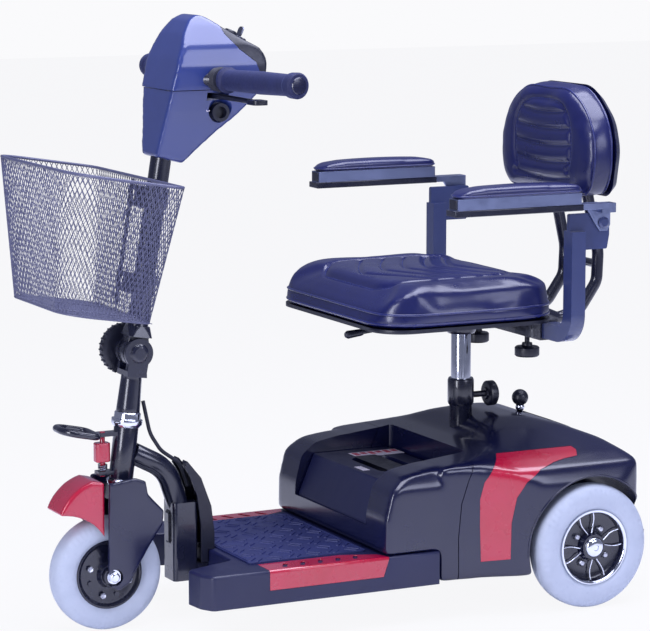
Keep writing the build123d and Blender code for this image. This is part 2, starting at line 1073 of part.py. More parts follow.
def grip(side):
    """A flanged rubber grip on one end of the handlebar."""
    start = on_bar(side, grip_start + 20)
    end = on_bar(side, grip_end_y - 2.8)
    reach = (Vector(*end) - Vector(*start)).length
    outer = [
        (0, bar_radius),
        (0, 19.5),
        (6, 20),
        (10, grip_radius - 0.5),
        (reach * 0.5, grip_radius + 0.8),
        (reach - 22, grip_radius - 0.3),
        (reach - 16, 19),
        (reach - 3, 19.5),
        (reach, 17),
        (reach, 0),
        (reach - 4.5, 0),
        (reach - 4.5, bar_radius),
    ]
    return less(
        turned(start, tuple(Vector(*end) - Vector(*start)), outer), handlebar
    )


keep(joined(grip(-1), grip(1)), "handle_grips")
paddle_back = 36.0
paddle_out = 150.0
paddle_drop = 4.0
throttle_hub = less(
    turned(
        (throttle_axis[0], 0, throttle_axis[2] - 8),
        (0, 0, 1),
        [(0, 0), (0, 10), (16, 10), (16, 0)],
    ),
    round_bar(
        (throttle_axis[0], 0, throttle_axis[2] - 20),
        (throttle_axis[0], 0, throttle_axis[2] + 20),
        throttle_pin_radius + running,
    ),
)


def throttle_arm(side):
    """One arm of the thumb lever, out through the head's side to its paddle."""
    return bent_tube(
        [
            (throttle_axis[0], side * 8, throttle_axis[2]),
            (throttle_axis[0] - 16, side * 66, throttle_axis[2]),
            (throttle_axis[0] - paddle_back, side * paddle_out, throttle_axis[2] - paddle_drop),
        ],
        40,
        4,
    )


def paddle(side):
    """A flat thumb paddle below the grip."""
    x = throttle_axis[0] - paddle_back
    z = throttle_axis[2] - paddle_drop
    return rounded_block(
        (x - 13, side * paddle_out - 17, z - 3.5), (x + 11, side * paddle_out + 17, z + 3.5), 8
    )


throttle = joined(throttle_hub, throttle_arm(-1), throttle_arm(1), paddle(-1), paddle(1))
keep(throttle, "throttle_lever")

# ---- deck pan


def deck_outline(inset):
    """The deck's plan: two forward horns and a recess for the down tube."""
    with BuildSketch(Plane.XY.offset(deck_low)) as plan:
        with BuildLine():
            Polyline(
                (front_x + deck_back, -deck_half),
                (front_x + deck_front - 12, -deck_half),
                (front_x + deck_front, -deck_half + 22),
                (front_x + deck_front + 4, -133),
                (front_x + deck_recess, -104),
                (front_x + deck_recess, 104),
                (front_x + deck_front + 4, 133),
                (front_x + deck_front, deck_half - 22),
                (front_x + deck_front - 12, deck_half),
                (front_x + deck_back, deck_half),
                close=True,
            )
        make_face()
        fillet(plan.vertices().group_by(Axis.X)[1:], 9)
        if inset:
            offset(amount=-inset)
    return plan.sketch


with BuildPart() as floor_pan_outer:
    add(deck_outline(0))
    extrude(amount=deck_high - deck_low)
    fillet(floor_pan_outer.faces().sort_by(Axis.Z)[-1].edges().filter_by(
        lambda e: e.center().X > front_x + deck_back + 1), 5)
with BuildPart() as floor_pan_inner:
    add(deck_outline(deck_wall))
    extrude(amount=deck_high - deck_low - deck_wall)
floor_pan = less(floor_pan_outer.part, floor_pan_inner.part)
pan_tail_gap = block(
    (front_x + deck_back - 5, -deck_half + 8, deck_low - 5),
    (front_x + deck_back + deck_wall + 5, deck_half - 8, deck_high - deck_wall),
)
spine_gap = block(
    (front_x + deck_recess - 30, -21, deck_low - 5),
    (front_x + deck_recess + 30, 21, rail_low + rail_size + 0.5),
)
trim_outline = [
    (front_x - 190, 82),
    (front_x - 190, deck_high + 10),
    (front_x - 398, deck_high + 10),
    (front_x - 384, 82),
]
trim_inner = 150.0
trim_thickness = 2.0
trim_plan = [
    (front_x - 190, trim_inner),
    (front_x - 190, deck_half + 10),
    (front_x - 400, deck_half + 10),
    (front_x - 384, 172),
    (front_x - 330, trim_inner),
]


def trim_prism(side, grow):
    """The space of the deck's corner trim: its side outline crossed with its plan."""
    with BuildPart() as made:
        with BuildSketch(Plane.XY.offset(60)):
            Polygon(*[(x, side * y) for x, y in trim_plan], align=None)
            if grow:
                offset(amount=grow, kind=Kind.INTERSECTION)
        extrude(amount=80)
        with BuildSketch(side_plane(0)):
            Polygon(*trim_outline, align=None)
            if grow:
                offset(amount=grow, kind=Kind.INTERSECTION)
        extrude(amount=300, both=True, mode=Mode.INTERSECT)
    return made.part


with BuildPart() as trim_core:
    add(deck_outline(trim_thickness))
    extrude(amount=deck_high - deck_low - trim_thickness)
floor_pan = less(floor_pan, pan_tail_gap, spine_gap)
trim_shell = less(floor_pan_outer.part, trim_core.part)
slot_count = 5
trims = []
for side in (-1, 1):
    piece = common(trim_shell, trim_prism(side, 0))
    with BuildPart() as slot_set:
        for step in range(slot_count):
            with BuildSketch(
                Plane(origin=(front_x - 226 - 30 * step, side * 172, deck_high + 2), z_dir=(0, 0, -1))
            ):
                SlotOverall(24, 7, rotation=90 + side * 28)
            extrude(amount=6)
    trims.append(less(piece, slot_set.part))
floor_pan = less(floor_pan, *[common(trim_shell, trim_prism(side, 0.4)) for side in (-1, 1)])
keep(floor_pan, "floor_pan")
keep(joined(*trims), "deck_trims")

# ---- deck mat

mat = rounded_block(
    (front_x - 378, -trim_inner + 3, deck_high),
    (front_x - 178, trim_inner - 3, deck_high + mat_thickness),
    upright=6,
)
keep(mat, "floor_mat")

# ---- shroud behind the down tube, an open channel

shroud_points = [
    (front_x - 124, 247),
    (front_x - 129, 256),
    (front_x - 152, 228),
    (front_x - 169, 182),
    (front_x - 174, 140),
    (front_x - 174, deck_high + 0.4),
    (front_x - 163, deck_high + 0.4),
    (front_x - 163, rail_low + rail_size + 2),
    (front_x - 151.5, rail_low + rail_size + 2),
    (front_x - 151.5, 150),
    (front_x - 145, 200),
    (front_x - 134, 230),
]
shroud_outer = plate(shroud_points, 0, 52)
shroud_room = plate([(x + 4.5, z - 2) for x, z in shroud_points], 0, 45)
cable_gate = block((front_x - 134, -8, 225), (front_x - 110, 8, 262))
keep(less(shroud_outer, shroud_room, cable_gate), "tube_shroud")

# ---- throttle cable from the stem, over the down tube and into the shroud

cable_radius = 3.0
cable_points = [
    (front_x - 66, 0, 352),
    (front_x - 77, 0, 300),
    (front_x - 95, 0, 272),
    (front_x - 127, 0, 249),
    (front_x - 140, 0, 212),
]
cable_bends = [60, 40, 32]
frame_cable = bent_tube(cable_points, cable_bends, cable_radius)
keep(frame_cable, "frame_cable")

# ---- body covers


def upright_box(x_low, x_high):
    """All of the machine between two places along it."""
    return block((x_low, -400, -10), (x_high, 400, 500))


def front_cover_body(inset):
    """The outer shape of the battery bay's cover, with its rounded shoulders."""
    with BuildPart() as made:
        with BuildSketch(side_plane(0)) as side_view:
            Polygon(
                (front_x + cover_front, deck_high + 0.5),
                (front_x + cover_front - 4, 185),
                (front_x + cover_front - 16, 222),
                (front_x + cover_front - 52, 239),
                (front_x + cover_front - 160, cover_top),
                (front_x + cover_split - 40, cover_top + 2),
                (front_x + cover_split - 40, cover_low),
                (front_x + deck_back - 2, cover_low),
                (front_x + deck_back - 2, deck_high + 0.5),
                align=None,
            )
            if inset:
                offset(amount=-inset, kind=Kind.INTERSECTION)
        extrude(amount=deck_half, both=True)
        end_plane = Plane(
            origin=(front_x + cover_front - 80, 0, 0), x_dir=(0, 1, 0), z_dir=(1, 0, 0)
        )
        with BuildSketch(end_plane):
            with BuildLine():
                shoulder = 38.0
                outer = deck_half - inset
                top = cover_top + 6 - inset
                FilletPolyline(
                    (outer, cover_low - 20),
                    (outer + 3, top),
                    (-outer - 3, top),
                    (-outer, cover_low - 20),
                    close=True,
                    radius=[2, shoulder, shoulder, 2],
                )
            make_face()
        extrude(amount=300, both=True, mode=Mode.INTERSECT)
    return made.part


rear_plan = [
    (cover_split + 30, deck_half + 2),
    (-560, deck_half + 9),
    (-620, fender_out - 3),
    (-660, fender_out),
    (-800, fender_out),
    (-828, fender_out - 14),
    (-840, fender_out - 42),
    (-843, fender_out - 90),
]
rear_side_view = [
    (cover_split + 30, cover_low),
    (cover_split + 30, cover_top - 1),
    (-560, cover_top + 3),
    (-618, 268),
    (-655, apex_height),
    (-705, apex_height),
    (-760, 283),
    (-812, 264),
    (-832, 240),
    (-843, 190),
    (-843, rear_lip),
    (-640, rear_lip),
    (-636, cover_low),
]


def rear_cover_body(inset):
    """The outer shape of the drive unit's cover."""
    with BuildPart() as made:
        with BuildSketch(side_plane(0)) as side_view:
            Polygon(*[(front_x + x, z) for x, z in rear_side_view], align=None)
            if inset:
                offset(amount=-inset, kind=Kind.INTERSECTION)
        extrude(amount=300, both=True)
        with BuildSketch(Plane.XY) as plan:
            outline = [(front_x + x, y) for x, y in rear_plan]
            Polygon(*outline, *[(x, -y) for x, y in reversed(outline)], align=None)
            if inset:
                offset(amount=-inset, kind=Kind.INTERSECTION)
        extrude(amount=600, both=True, mode=Mode.INTERSECT)
        with BuildSketch(Plane(origin=(front_x - 600, 0, 0), x_dir=(0, 1, 0), z_dir=(1, 0, 0))) as end_view:
            Polygon(
                (-fender_out, 20),
                (-fender_out, 212),
                (-fender_out + 12, 232),
                (-188, 245),
                (-66, apex_height + 1),
                (66, apex_height + 1),
                (188, 245),
                (fender_out - 12, 232),
                (fender_out, 212),
                (fender_out, 20),
                align=None,
            )
            if inset:
                offset(amount=-inset, kind=Kind.INTERSECTION)
        extrude(amount=400, both=True, mode=Mode.INTERSECT)
    return made.part


well_low = 150.0
well_wall = 3.0
well_room = block(
    (front_x + well_back, -well_half, well_low), (front_x + cover_front + 5, well_half, 300)
)
well_liner = block(
    (front_x + well_back - well_wall, -well_half - well_wall, well_low - 30),
    (front_x + cover_front, well_half + well_wall, 300),
)
well_under = block(
    (front_x + well_back, -well_half, well_low - 31),
    (front_x + cover_front - cover_wall, well_half, well_low + 1),
)
front_open_bottom = joined(
    block(
        (front_x + cover_split - 60, -deck_half + cover_wall, cover_low - 10),
        (front_x + deck_back - 2 - cover_wall, deck_half - cover_wall, cover_low + 10),
    ),
    block(
        (front_x + deck_back - 8, -deck_half + cover_wall, deck_high - 2),
        (front_x + cover_front - cover_wall, deck_half - cover_wall, deck_high + 8),
    ),
)
front_skin = less(front_cover_body(0), front_cover_body(cover_wall), front_open_bottom)
liner_wall = common(less(well_liner, well_under), front_cover_body(0))
front_part_limits = upright_box(front_x + cover_split + seam / 2, front_x)
rail_reach = rail_half + rail_size / 2 + 1
rail_gap = block(
    (front_x + deck_back - 12, -rail_reach, cover_low - 5),
    (front_x + deck_back + 4, rail_reach, rail_low + rail_size + 1),
)
front_cover = less(
    joined(common(front_skin, front_part_limits), common(liner_wall, front_part_limits)),
    well_room,
    rail_gap,
)
keep(front_cover, "front_body_cover")

mast_hole = round_bar((post_x, 0, 150), (post_x, 0, 400), mast_radius + 5)
lever_back = rear_x + 2.0
lever_hole = round_bar((lever_back, 0, 200), (lever_back, 0, 400), 9)
arch_cut = joined(
    *[
        round_bar((rear_x, side * 176, axle_height), (rear_x, side * 300, axle_height), arch_radius)
        for side in (-1, 1)
    ]
)
arch_liner = joined(
    *[
        round_bar(
            (rear_x, side * (176 - cover_wall), axle_height),
            (rear_x, side * 300, axle_height),
            arch_radius + cover_wall,
        )
        for side in (-1, 1)
    ]
)
rear_open_bottom = common(
    joined(
        block((front_x - 637 + 3, -180, cover_low - 20), (front_x + cover_split + 40, 180, cover_low + 6)),
        block((front_x - 900, -170, rear_lip - 80), (front_x - 633, 170, rear_lip + 6)),
    ),
    upright_box(front_x - 840, front_x),
)
rear_skin = less(rear_cover_body(0), rear_cover_body(cover_wall), rear_open_bottom)
rear_liner = common(arch_liner, rear_cover_body(0.2))
rear_liner = common(rear_liner, block((front_x - 843, -400, rear_lip - 66), (front_x - 560, 400, 400)))
rear_limits = upright_box(front_x - 900, front_x + cover_split - seam / 2)
handle_slot = block((front_x - 806, -52, 240), (front_x - 762, 52, 330))
well_in_rear = block(
    (front_x + well_back, -well_half, well_low - 30), (front_x + cover_split + 10, well_half, 330)
)
rear_cover = less(
    joined(common(rear_skin, rear_limits), rear_liner),
    arch_cut,
    mast_hole,
    lever_hole,
    handle_slot,
    well_in_rear,
)
keep(rear_cover, "rear_body_cover")

# ---- red flashes on the rear cover's sides

flash_points = [
    (-554, 92),
    (-553, 180),
    (-560, 222),
    (-590, 252),
    (-640, 262),
    (-740, 256),
    (-775, 252),
    (-784, 245),
    (-775, 238),
    (-700, 236),
    (-640, 224),
    (-608, 196),
    (-598, 150),
    (-596, 95),
]
flash_thickness = 1.6
flash_prism = less(
    plate([(front_x + x, z) for x, z in flash_points], 0, 700),
    block((rear_x - 400, -148, 0), (front_x, 148, 500)),
)
side_flashes = common(
    less(rear_cover_body(-flash_thickness), rear_cover_body(-0.02)), flash_prism
)
keep(less(side_flashes, arch_cut), "side_flashes")

# ---- drive unit: gearbox, axle tubes, motor and brake

gearbox = turned(
    (rear_x, 0, axle_height),
    (0, 1, 0),
    [(-46, 0), (-46, 30), (-40, 38), (40, 38), (46, 30), (46, 0)],
)
axle_tubes = round_bar(
    (rear_x, -168, axle_height), (rear_x, 168, axle_height), axle_tube_radius
)
motor = round_bar((rear_x - 18, -96, 168), (rear_x - 18, 58, 168), 36)
motor_mount = block((rear_x - 30, -30, axle_height), (rear_x + 8, 30, 168))
freewheel_post = round_bar((lever_back, 0, axle_height + 60), (lever_back, 0, 222), 8)
drive_unit = less(
    joined(gearbox, axle_tubes, motor, motor_mount, freewheel_post),
    round_bar((rear_x, 14, axle_height), (rear_x, 200, axle_height), half_shaft_radius + running),
    round_bar((rear_x, -200, axle_height), (rear_x, -14, axle_height), half_shaft_radius + running),
    round_bar((lever_back, 0, 205), (lever_back, 0, 260), 4 + running),
)
keep(drive_unit, "drive_unit")
lever_top = 304.0
lever_knob = 14.0
freewheel_lever = joined(
    round_bar((lever_back, 0, 209), (lever_back, 0, lever_top - 8), 4),
    turned(
        (lever_back, 0, lever_top),
        (0, 0, 1),
        [(-16, 0), (-16, 7.5), (-13, 8), (-9.5, 10.3), (-4.5, 13.3), (0, lever_knob), (4.5, 13.3),
         (9.5, 10.3), (12.6, 6), (lever_knob, 0)],
    ),
)
keep(freewheel_lever, "freewheel_lever")

# ---- rear wheels


def rear_rim(side):
    """A dished rim with four pairs of spokes, its hub and its half shaft."""
    y = side * rear_track_half
    half = rear_width / 2 - 3
    barrel = turned(
        (rear_x, y, axle_height),
        (0, side, 0),
        [
            (-half, rear_rim_radius - 4),
            (-half, rear_rim_radius),
            (half + 1, rear_rim_radius),
            (half + 1, rear_rim_radius - 3),
            (half - 2, rear_rim_radius - 7),
            (half - 12, rear_rim_radius - 7),
        ],
    )
    dish = turned(
        (rear_x, y, axle_height),
        (0, side, 0),
        [
            (half - 14, 0),
            (half - 14, rear_rim_radius - 4),
            (half - 9, rear_rim_radius - 4),
            (half - 7, 22),
            (half + 1, 20),
            (half + 1, 0),
        ],
    )
    cap = turned(
        (rear_x, y, axle_height), (0, side, 0), [(half, 0), (half, 16), (half + 3.5, 14), (half + 5, 0)]
    )
    shaft = round_bar(
        (rear_x, side * 18, axle_height), (rear_x, y + side * (half - 10), axle_height), half_shaft_radius
    )
    hub = round_bar(
        (rear_x, side * 170, axle_height), (rear_x, y + side * (half - 12), axle_height), 19
    )
    with BuildPart() as spokes:
        with BuildSketch(
            Plane(
                origin=(rear_x, y + side * (half - 9.5), axle_height),
                x_dir=(1, 0, 0),
                z_dir=(0, side, 0),
            )
        ):
            for turn in range(4):
                for lean in (-1, 1):
                    with Locations(Rotation(0, 0, 90 * turn + 20 + 16 * lean)):
                        with Locations((36, 0)):
                            Rectangle(38, 3)
        extrude(amount=6)
    return joined(barrel, dish, cap, shaft, hub, spokes.part)


for side, name in ((1, "left"), (-1, "right")):
    keep(rear_rim(side), f"{name}_rear_rim")
    keep(
        tyre(rear_x, side * rear_track_half, axle_height, rear_radius, rear_width, rear_rim_radius),
        f"{name}_rear_tyre",
    )

# ---- anti-tip feet on two arms behind the drive unit


def anti_tip(side):
    """A flat arm with a rubber foot."""
    y = side * (rear_plate_y + 1)
    arm = block((rear_x - rear_overhang + 14, y - 5, 72), (rear_x - 40, y + 5, 92))
    foot = rounded_block(
        (rear_x - rear_overhang, y - 15, 58), (rear_x - rear_overhang + 34, y + 15, 90), 5
    )
    return joined(arm, foot)


keep(joined(anti_tip(-1), anti_tip(1)), "anti_tippers")

# ---- battery pack with its lifting handle

battery_case = less(
    plate(
        [
            (front_x + cover_front - 6, deck_high + 8),
            (front_x + cover_front - 6, 152),
            (front_x + cover_front - 34, battery_high),
            (front_x + well_back + 4, battery_high),
            (front_x + well_back + 4, deck_high + 8),
        ],
        0,
        2 * (well_half - battery_gap),
        corner=4,
    ),
    rounded_block(
        (front_x - 520, -62, battery_high - 26), (front_x - 452, 62, battery_high + 5), upright=18
    ),
)
keep(battery_case, "battery_case")
battery_handle = turned(
    (front_x - 486, -62, battery_high - 12),
    (0, 1, 0),
    [(0, 0), (0, 5), (16, 5), (22, 7.5), (102, 7.5), (108, 5), (124, 5), (124, 0)],
)
keep(battery_handle, "battery_handle")

# ---- front ring, lock lever

ring_radius = 5.5
ring_half = 30.0
ring_reach = 62.0
with BuildPart() as ring_loop:
    with BuildLine(
        Plane(
            origin=(front_x + 12.5, 0, loop_lug_high),
            x_dir=(cos(radians(12)), 0, sin(radians(12))),
            z_dir=(-sin(radians(12)), 0, cos(radians(12))),
        )
    ) as ring_route:
        FilletPolyline(
            (6, ring_half),
            (ring_reach, ring_half),
            (ring_reach, -ring_half),
            (6, -ring_half),
            close=True,
            radius=[12, 24, 24, 12],
        )
    with BuildSketch(Plane(origin=ring_route.line @ 0, z_dir=ring_route.line % 0)):
        Circle(ring_radius)
    sweep()
ring_foot = block((front_x + 12, -9, loop_lug_high - 3), (front_x + 22, 9, loop_lug_high + 3))
keep(joined(ring_loop.part, ring_foot), "front_ring")
lock_low = loop_lug_low + 3 + 14
lock_lever = joined(
    rounded_block((lock_pin_x - 11, -10, lock_low), (lock_pin_x + 13, 10, lock_low + 30), 7, edges=2),
    round_bar((lock_pin_x, 0, loop_lug_low - 6), (lock_pin_x, 0, loop_lug_high + 4), lock_pin_radius),
)
keep(lock_lever, "lock_lever")
spring_wire = 1.3
spring_coil = 6.5
lock_spring = joined(
    *[
        turned(
            (lock_pin_x, 0, loop_lug_low + 3 + 1.5 + 2.9 * turn),
            (0, 0, 1),
            [(-spring_wire, spring_coil - spring_wire), (-spring_wire, spring_coil + spring_wire),
             (spring_wire, spring_coil + spring_wire), (spring_wire, spring_coil - spring_wire)],
        )
        for turn in range(4)
    ]
)
keep(lock_spring, "lock_spring")

# ---- seat post, clamp knob

seat_post = round_bar((post_x, 0, post_low), (post_x, 0, post_high), post_radius)
keep(seat_post, "seat_post")
post_knob = joined(
    round_bar(
        (post_x - 58, 0, clamp_screw_height),
        (post_x - post_radius - 0.6, 0, clamp_screw_height),
        screw_radius,
    ),
    turned(
        (post_x - 44, 0, clamp_screw_height),
        (-1, 0, 0),
        [(0, 0), (0, 9), (3, 10), (4, 18), (6, 20.5), (16, 20.5), (18, 18), (18, 0)],
    ),
)
keep(post_knob, "post_knob")

# ---- seat: bracket with post hub, arm receiver and backrest hinge arms

pan_low = seat_low - pan_thickness
post_top = post_high + 0.5
seat_hub = turned(
    (post_x, 0, hub_low),
    (0, 0, 1),
    [
        (0, post_radius + running),
        (0, 22),
        (4, 24),
        (post_top - hub_low, 24),
        (pan_low - hub_low, 30),
        (pan_low - hub_low, 0),
        (post_top - hub_low, 0),
        (post_top - hub_low, post_radius + running),
    ],
)
receiver_x = post_x - arm_back
receiver = less(
    block(
        (receiver_x - receiver_size / 2, -150, receiver_height - receiver_size / 2),
        (receiver_x + receiver_size / 2, 150, receiver_height + receiver_size / 2),
    ),
    block(
        (receiver_x - arm_tube / 2 - slide_gap, -151, receiver_height - arm_tube / 2 - slide_gap),
        (receiver_x + arm_tube / 2 + slide_gap, 151, receiver_height + arm_tube / 2 + slide_gap),
    ),
)
swivel_x = post_x + 62
swivel_y = 30.0
bracket_sheet = block((receiver_x - 16, -90, pan_low - 4), (post_x + 90, 90, pan_low))
stub = round_bar((swivel_x, swivel_y, pan_low - 10), (swivel_x, swivel_y, pan_low - 2), 5)
hinge_x = post_x - hinge_back
hinge_axis_z = hinge_height
hinge_pin_radius = 5.0
ear_half = 4.0


def hinge_ear(side):
    """A hinge ear behind the receiver, just inboard of the backrest tube."""
    y = side * (back_tube_half - back_tube_radius - ear_half - 1)
    return plate(
        [
            (receiver_x - receiver_size / 2 + 1, pan_low),
            (receiver_x - receiver_size / 2 + 1, receiver_height - 14),
            (hinge_x - 9, hinge_axis_z - 9),
            (hinge_x - 9, hinge_axis_z + 8),
            (hinge_x + 8, hinge_axis_z + 8),
        ],
        y,
        2 * ear_half,
    )


hinge_bore = round_bar(
    (hinge_x, -80, hinge_axis_z), (hinge_x, 80, hinge_axis_z), hinge_pin_radius + running
)
knob_spots = (-82.0, 82.0)
knob_screw = 4.0
knob_bores = [
    round_bar(
        (receiver_x, y, receiver_height - 30),
        (receiver_x, y, receiver_height - arm_tube / 2),
        knob_screw + running,
    )
    for y in knob_spots
]
seat_bracket = less(
    joined(seat_hub, receiver, bracket_sheet, stub, hinge_ear(-1), hinge_ear(1)),
    hinge_bore,
    *knob_bores,
)
keep(seat_bracket, "seat_bracket")

# ---- seat pan and cushion


def seat_block(inset, low, high, corner):
    """A seat-shaped slab."""
    return rounded_block(
        (post_x + seat_back + inset, -seat_half + inset, low),
        (post_x + seat_front - inset, seat_half - inset, high),
        upright=corner,
    )


keep(seat_block(7, pan_low, seat_low, 52), "seat_pan")
with BuildPart() as cushion:
    with BuildSketch(Plane.XY.offset(seat_low)):
        with Locations((post_x + (seat_front + seat_back) / 2, 0)):
            RectangleRounded(seat_front - seat_back, 2 * seat_half, 58)
    extrude(amount=seat_high - seat_low)
    fillet(cushion.faces().sort_by(Axis.Z)[-1].edges(), 20)
keep(cushion.part, "seat_cushion")

# ---- swivel lever under the seat

swivel_lever = joined(
    turned(
        (swivel_x, swivel_y, pan_low - 12.0),
        (0, 0, -1),
        [(0.4, 0), (0.4, 10), (5, 10), (5, 0)],
    ),
    bent_tube(
        [
            (swivel_x, swivel_y, pan_low - 15),
            (post_x + 170, 40, pan_low - 15),
            (post_x + 228, 42, pan_low - 20),
        ],
        40,
        3.5,
    ),
    turned(
        (post_x + 200, 41, pan_low - 17.6),
        (28, 1, -2.4),
        [(0, 0), (0, 4), (3, 5.5), (28, 6.5), (32, 4), (32, 0)],
    ),
)
keep(swivel_lever, "swivel_lever")

# ---- armrests: square tube, hinge cheeks, lifting rail and pad

arm_inner = 14.0
arm_top = 606.0
pivot_x = post_x - arm_pivot_back
arm_pin_radius = 5.0
cheek_gap = 0.5
lift_cheek = 4.0


def arm_base(side):
    """The square tube of one armrest, bent up at the side of the seat, with its hinge plate."""
    with BuildPart() as tube:
        with BuildLine() as route:
            FilletPolyline(
                (receiver_x, side * arm_inner, receiver_height),
                (receiver_x, side * arm_out, receiver_height),
                (receiver_x, side * arm_out, arm_top),
                radius=34,
            )
        with BuildSketch(Plane(origin=route.line @ 0, x_dir=(1, 0, 0), z_dir=route.line % 0)):
            Rectangle(arm_tube, arm_tube)
        sweep()
    hinge_plate = plate(
        [
            (receiver_x + 12.5, arm_pivot_height + 15),
            (receiver_x + 12.5, arm_pivot_height - 16),
            (receiver_x + 4, arm_pivot_height - 30),
            (receiver_x - 12.5, arm_pivot_height - 42),
            (pivot_x - 10, arm_pivot_height - 42),
            (pivot_x - 14, arm_pivot_height - 20),
            (pivot_x - 14, arm_pivot_height + 15),
        ],
        side * arm_out,
        8,
        corner=3,
    )
    pin = round_bar(
        (pivot_x, side * (arm_out - 4), arm_pivot_height),
        (pivot_x, side * (arm_out + 12), arm_pivot_height),
        arm_pin_radius,
    )
    head = turned(
        (pivot_x, side * (arm_out + 4 + cheek_gap + lift_cheek + cheek_gap), arm_pivot_height),
        (0, side, 0),
        [(0, 0), (0, 9), (2, 9), (4, 6), (4, 0)],
    )
    return joined(tube.part, hinge_plate, pin, head)


def arm_frame(side):
    """The lifting rail of one armrest, with the metal channel that holds the pad."""
    rail_y = side * (arm_out + 12)
    low_rail = block(
        (pivot_x + 7, rail_y - 13, rail_height), (post_x + arm_front, rail_y + 13, rail_height + 9)
    )
    channel = block(
        (pivot_x + 50, rail_y - 14, rail_height + 9),
        (post_x + arm_front - 4, rail_y + 14, rail_height + 27),
    )
    tail_inner = side * (arm_out + 4 + cheek_gap)
    tail_outer = rail_y + side * 13
    tail = block(
        (pivot_x - 13, min(tail_inner, tail_outer), rail_height - 6),
        (pivot_x + 12, max(tail_inner, tail_outer), rail_height + 9),
    )
    lift_y = side * (arm_out + 4 + cheek_gap + lift_cheek / 2)
    lift = plate(
        [
            (pivot_x - 13, rail_height),
            (pivot_x + 30, rail_height),
            (pivot_x + 13, arm_pivot_height - 4),
            (pivot_x + 6, arm_pivot_height - 13),
            (pivot_x - 8, arm_pivot_height - 13),
            (pivot_x - 13, arm_pivot_height - 4),
        ],
        lift_y,
        lift_cheek,
    )
    hole = round_bar(
        (pivot_x, lift_y - 10, arm_pivot_height),
        (pivot_x, lift_y + 10, arm_pivot_height),
        arm_pin_radius + running,
    )
    return less(joined(low_rail, channel, tail, lift), hole)


def arm_pad(side):
    """The padded top of one armrest."""
    rail_y = side * (arm_out + 12)
    return rounded_block(
        (pivot_x + 46, rail_y - pad_width / 2, rail_height + 27),
        (post_x + arm_front - 2, rail_y + pad_width / 2, rail_height + 44),
        upright=22,
        edges=6,
    )


def arm_knob(y):
    """A hand knob with its clamping screw, under the receiver."""
    return joined(
        round_bar(
            (receiver_x, y, receiver_height - 40),
            (receiver_x, y, receiver_height - arm_tube / 2 - slide_gap / 2 - 0.4),
            knob_screw,
        ),
        turned(
            (receiver_x, y, receiver_height - 30),
            (0, 0, -1),
            [(0, 0), (0, 8), (5, 9), (6, 18), (8, 20), (20, 20), (22, 18), (22, 0)],
        ),
    )


for side, name in ((1, "left"), (-1, "right")):
    keep(arm_base(side), f"{name}_arm_base")
    keep(arm_frame(side), f"{name}_arm_frame")
    keep(arm_pad(side), f"{name}_arm_pad")
    keep(arm_knob(side * knob_spots[1]), f"{name}_arm_knob")

# ---- backrest: two bent tubes, moulded back shell and cushion

shell_depth = 14.0
back_x = post_x + back_face - back_depth


def back_tube(side):
    """A support tube from its hinge eye, round behind the seat and up into the shell."""
    y = side * back_tube_half
    return bent_tube(
        [
            (hinge_x, y, hinge_axis_z),
            (post_x - 150, y, hinge_axis_z - 14),
            (post_x - 192, y, hinge_axis_z - 3),
            (post_x - 224, y, hinge_axis_z + 42),
            (post_x - 226, y, hinge_axis_z + 90),
            (back_x + 12, y, back_low + 20),
            (back_x + 7, y, back_low + 110),
        ],
        [20, 26, 34, 60, 60],
        back_tube_radius,
    )


hinge_eyes = [
    round_bar(
        (hinge_x, side * (back_tube_half - back_tube_radius), hinge_axis_z),
        (hinge_x, side * (back_tube_half + back_tube_radius), hinge_axis_z),
        11,
    )
    for side in (-1, 1)
]
hinge_pin = round_bar(
    (hinge_x, -back_tube_half - 14, hinge_axis_z),
    (hinge_x, back_tube_half + 14, hinge_axis_z),
    hinge_pin_radius,
)
tie = round_bar(
    (post_x - 225.5, -back_tube_half, hinge_axis_z + 70),
    (post_x - 225.5, back_tube_half, hinge_axis_z + 70),
    7,
)
backrest_frame = joined(back_tube(-1), back_tube(1), *hinge_eyes, hinge_pin, tie)
keep(backrest_frame, "backrest_frame")


def back_outline(x, inset):
    """The backrest's outline: a broad arch with rounded lower corners."""
    right = [
        (back_half - 16, back_low),
        (back_half, back_low + 80),
        (back_half - 17, back_high - 50),
        (back_half - 75, back_high),
    ]
    left = [(-y, z) for y, z in reversed(right)]
    with BuildSketch(Plane(origin=(x, 0, 0), x_dir=(0, 1, 0), z_dir=(1, 0, 0))) as made:
        with BuildLine():
            FilletPolyline(*right, *left, close=True, radius=[30, *[80] * 6, 30])
        make_face()
        if inset:
            offset(amount=-inset)
    return made.sketch


with BuildPart() as back_shell:
    add(back_outline(back_x, 16))
    add(back_outline(back_x + shell_depth, 4))
    loft()
keep(less(back_shell.part, backrest_frame), "backrest_shell")
cushion_round = 15.0
with BuildPart() as back_cushion:
    add(back_outline(back_x + shell_depth, 0))
    extrude(amount=back_depth - shell_depth - cushion_round, dir=(1, 0, 0))
    add(back_outline(back_x + back_depth - cushion_round, 0))
    add(back_outline(back_x + back_depth, cushion_round))
    loft()
keep(less(back_cushion.part, backrest_frame), "backrest_cushion")
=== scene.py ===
import math

import bmesh
import bpy
import numpy as np
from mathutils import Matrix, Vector
from mathutils.bvhtree import BVHTree


